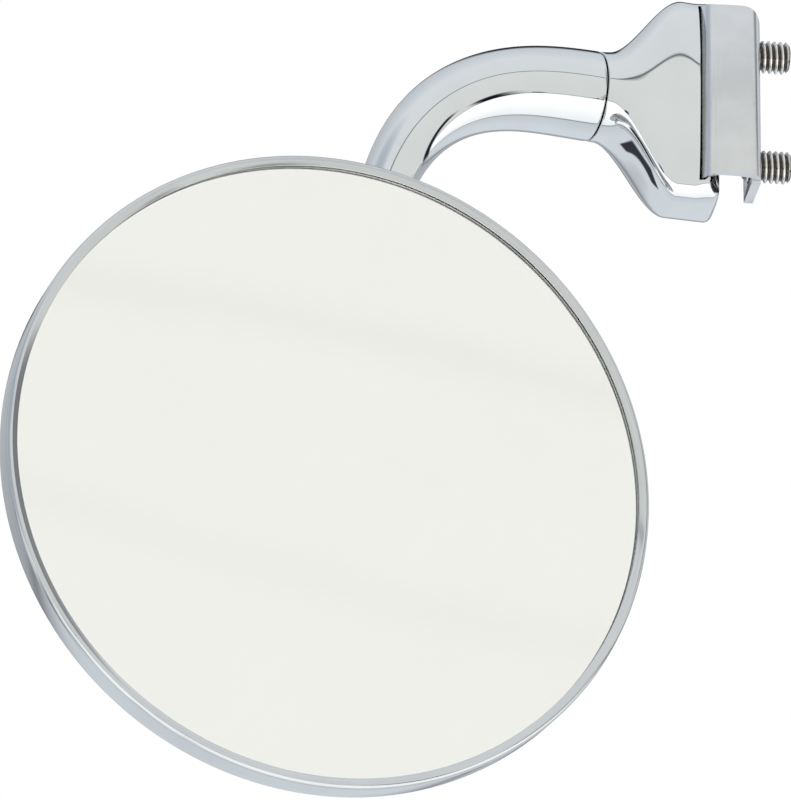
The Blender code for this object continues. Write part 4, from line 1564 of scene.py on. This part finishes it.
@dataclass
class Studio:
    """A pale floor, soft light all round in broad bands, and the camera."""

    places: Places
    azimuth: float = math.radians(-5.31)
    elevation: float = math.radians(-21.55)
    roll: float = math.radians(1.07)
    seat_offset: tuple[float, float, float] = (52.88 * MM, 48.06 * MM, 830.78 * MM)
    lens: float = 225.0
    floor_drop: float = 0.42
    floor_size: float = 5.0
    bands: tuple[tuple[float, Colour], ...] = (
        (-180, (0.30, 0.32, 0.35)),
        (-176, (0.60, 0.64, 0.68)),
        (-170, (0.86, 0.92, 0.97)),
        (-140, (0.90, 0.96, 1.01)),
        (-101, (0.79, 0.85, 0.90)),
        (-98, (0.20, 0.22, 0.25)),
        (-96, (1.25, 1.28, 1.30)),
        (-60, (1.50, 1.50, 1.50)),
        (-31.5, (1.50, 1.50, 1.50)),
        (-31, (0.30, 0.32, 0.36)),
        (-30.3, (0.93, 0.95, 0.93)),
        (26.0, (0.965, 0.985, 0.965)),
        (26.3, (0.10, 0.11, 0.12)),
        (27.0, (0.10, 0.11, 0.12)),
        (27.4, (0.95, 0.98, 1.00)),
        (70, (0.96, 1.00, 1.03)),
        (108, (0.78, 0.84, 0.90)),
        (150, (0.60, 0.63, 0.66)),
        (176, (0.52, 0.55, 0.58)),
        (180, (0.30, 0.32, 0.35)),
    )
    cards: tuple[Card, ...] = (
        Card((0.03, 0.03, 0.04), (
            Edge(Measure.BAND, math.radians(112), math.radians(126)),
            Edge(Measure.ALONG, -0.05, 0.16),
            Edge(Measure.BAND, math.radians(172), math.radians(160)),
            Edge(Measure.ALONG, 0.54, 0.40),
        )),
        Card((0.01, 0.01, 0.02), (
            Edge(Measure.ALONG, 0.30, 0.46),
            Edge(Measure.ALONG, 0.64, 0.54),
            Edge(Measure.BAND, math.radians(-33.5), math.radians(-32.0)),
            Edge(Measure.BAND, math.radians(-20.5), math.radians(-24.0)),
        )),
        Card((0.02, 0.02, 0.03), (
            Edge(Measure.ALONG, 0.60, 0.70),
            Edge(Measure.FRONT, -0.3, 0.0),
            Edge(Measure.TILT, -0.05, -0.025),
            Edge(Measure.TILT, 0.05, 0.025),
        )),
        Card((0.05, 0.05, 0.07), (
            Edge(Measure.ALONG, -0.50, -0.56),
            Edge(Measure.ALONG, -0.90, -0.84),
            Edge(Measure.UP, -0.21, -0.24),
            Edge(Measure.UP, -0.38, -0.35),
            Edge(Measure.FRONT, -0.1, -0.25),
        )),
    )
    flags: tuple[Flag, ...] = (
        Flag((0.30, -0.83, -0.475), 0.7, 1.5, (0.02, 0.02, 0.03)),
        Flag((0.82, -0.42, 0.40), 9.0, 17.0, (0.30, 0.305, 0.32)),
        Flag((0.66, -0.46, 0.59), 6.0, 12.0, (0.36, 0.365, 0.38)),
        Flag((-0.66, -0.66, -0.35), 2.5, 4.5, (0.05, 0.05, 0.09)),
        Flag((-0.30, -0.30, -0.90), 2.0, 4.0, (0.12, 0.12, 0.15)),
        Flag((-0.55, -0.10, -0.83), 2.0, 4.0, (0.12, 0.12, 0.15)),
        Flag((-0.85, -0.35, 0.38), 15.0, 35.0, (0.56, 0.63, 0.72)),
        Flag((-0.93, -0.10, -0.33), 4.0, 7.0, (0.05, 0.05, 0.07)),
        Flag((-0.80, 0.10, -0.58), 3.0, 6.0, (0.12, 0.12, 0.15)),
    )

    def camera(self) -> None:
        """The camera, low in front and a little to the left, turned slightly."""
        a, e = self.azimuth, self.elevation
        back = Vector((math.sin(a) * math.cos(e), -math.cos(a) * math.cos(e), math.sin(e)))
        right = Vector((math.cos(a), math.sin(a), 0.0))
        up = back.cross(right)
        tilted = right * math.cos(self.roll) + up * math.sin(self.roll)
        upright = back.cross(tilted)
        across, above, away = self.seat_offset
        data = bpy.data.cameras.new("studio_camera")
        data.lens = self.lens
        data.sensor_width = 36.0
        data.clip_start, data.clip_end = 0.01, 50.0
        camera = bpy.data.objects.new("studio_camera", data)
        bpy.context.scene.collection.objects.link(camera)
        where = back * away - tilted * across - upright * above
        camera.matrix_world = frame_matrix(where, tilted, upright, back)
        bpy.context.scene.camera = camera

    def floor(self) -> None:
        """The pale floor, far below the mirror."""
        deselect_all()
        lowest = cad_box[0].z
        bpy.ops.mesh.primitive_plane_add(size=self.floor_size, location=(0.0, 0.0, lowest - self.floor_drop))
        floor = bpy.context.object
        floor.name = "studio_floor"
        sketch = ShaderSketch("pale_floor")
        slow = sketch.noise(sketch.place(), 3.0, 2.0)
        colour = sketch.between(slow, (0.90, 0.90, 0.90), (0.88, 0.885, 0.89))
        sketch.feed(sketch.shader, Base_Color=colour, Roughness=0.8)
        floor.data.materials.append(sketch.made)
        floor.visible_glossy = False
        floor.visible_transmission = False

    def light(self) -> None:
        """Soft light in bands that run along the arm, with dark cards, and white to the camera."""
        world = bpy.data.worlds.new("soft_room")
        bpy.context.scene.world = world
        world.use_nodes = True
        tree = world.node_tree
        turn = self.places.arm.to_3x3()
        ways = {kind: self.toward(tree, turn @ Vector(kind.value)) for kind in Measure if kind.value}
        angle = tree.nodes.new("ShaderNodeMath")
        angle.operation = "ARCTAN2"
        tree.links.new(ways[Measure.UP], angle.inputs[0])
        tree.links.new(ways[Measure.FRONT], angle.inputs[1])
        ways[Measure.BAND] = angle.outputs[0]
        ramp = tree.nodes.new("ShaderNodeValToRGB")
        stops = ramp.color_ramp.elements
        for index, (degrees, colour) in enumerate(self.bands):
            stop = stops[index] if index < 2 else stops.new(1.0)
            stop.position = (degrees + 180) / 360
            stop.color = (*colour, 1.0)
        tree.links.new(self.eased(tree, angle.outputs[0], -math.pi, math.pi, "LINEAR"), ramp.inputs[0])
        room = ramp.outputs[0]
        for card in self.cards:
            edges = [self.eased(tree, ways[edge.kind], edge.outside, edge.inside) for edge in card.edges]
            room = self.blend(tree, self.product(tree, *edges), room, card.colour)
        for flag in self.flags:
            share = self.toward(tree, turn @ Vector(flag.way).normalized())
            outer, inner = (math.cos(math.radians(limit)) for limit in (flag.outer, flag.inner))
            room = self.blend(tree, self.eased(tree, share, outer, inner), room, flag.colour)
        camera_ray = tree.nodes.new("ShaderNodeLightPath").outputs["Is Camera Ray"]
        seen = self.blend(tree, camera_ray, room, (1.0, 1.0, 1.0))
        tree.links.new(seen, tree.nodes["Background"].inputs["Color"])
        bpy.context.scene.view_settings.view_transform = "Standard"

    @staticmethod
    def toward(tree: Tree, axis: Vector) -> Socket:
        """How far the light's direction points along an axis, -1 to 1."""
        way = tree.nodes.new("ShaderNodeTexCoord").outputs["Generated"]
        dot = tree.nodes.new("ShaderNodeVectorMath")
        dot.operation = "DOT_PRODUCT"
        dot.inputs[1].default_value = axis
        tree.links.new(way, dot.inputs[0])
        return dot.outputs["Value"]

    @staticmethod
    def eased(
        tree: Tree, value: Socket, start: float, end: float, kind: str = "SMOOTHSTEP"
    ) -> Socket:
        """A value's way from a start to an end, 0 to 1."""
        share = tree.nodes.new("ShaderNodeMapRange")
        share.interpolation_type = kind
        share.inputs["From Min"].default_value = start
        share.inputs["From Max"].default_value = end
        tree.links.new(value, share.inputs["Value"])
        return share.outputs[0]

    @staticmethod
    def product(tree: Tree, first: Socket, *others: Socket) -> Socket:
        """The product of several shares."""
        for other in others:
            made = tree.nodes.new("ShaderNodeMath")
            made.operation = "MULTIPLY"
            tree.links.new(first, made.inputs[0])
            tree.links.new(other, made.inputs[1])
            first = made.outputs[0]
        return first

    @staticmethod
    def blend(
        tree: Tree, share: Socket, first: Socket, second: Colour
    ) -> Socket:
        """A colour part of the way to another."""
        mix = tree.nodes.new("ShaderNodeMix")
        mix.data_type = "RGBA"
        tree.links.new(share, mix.inputs[0])
        tree.links.new(first, mix.inputs[6])
        mix.inputs[7].default_value = (*second, 1.0)
        return mix.outputs[2]

    def build(self) -> None:
        """Sets the floor, the light and the camera."""
        self.floor()
        self.light()
        self.camera()


def main() -> None:
    """Builds every sub-assembly in order, then the studio."""
    logging.basicConfig(level=logging.INFO, format="%(message)s")
    places = Places()
    finishes = Finishes(places.head)
    ClampFoot(places, finishes).build()
    Bracket(places, finishes).build()
    ClampPins(places, finishes).build()
    SwivelPins(places, finishes).build()
    for side in Side:
        SetScrew(places, finishes, side).build()
    CurvedArm(places, finishes).build()
    MirrorHead(places, finishes).build()
    CarriedNodes(finishes).build()
    Studio(places).build()
    deselect_all()


if __name__ == "__main__":
    main()
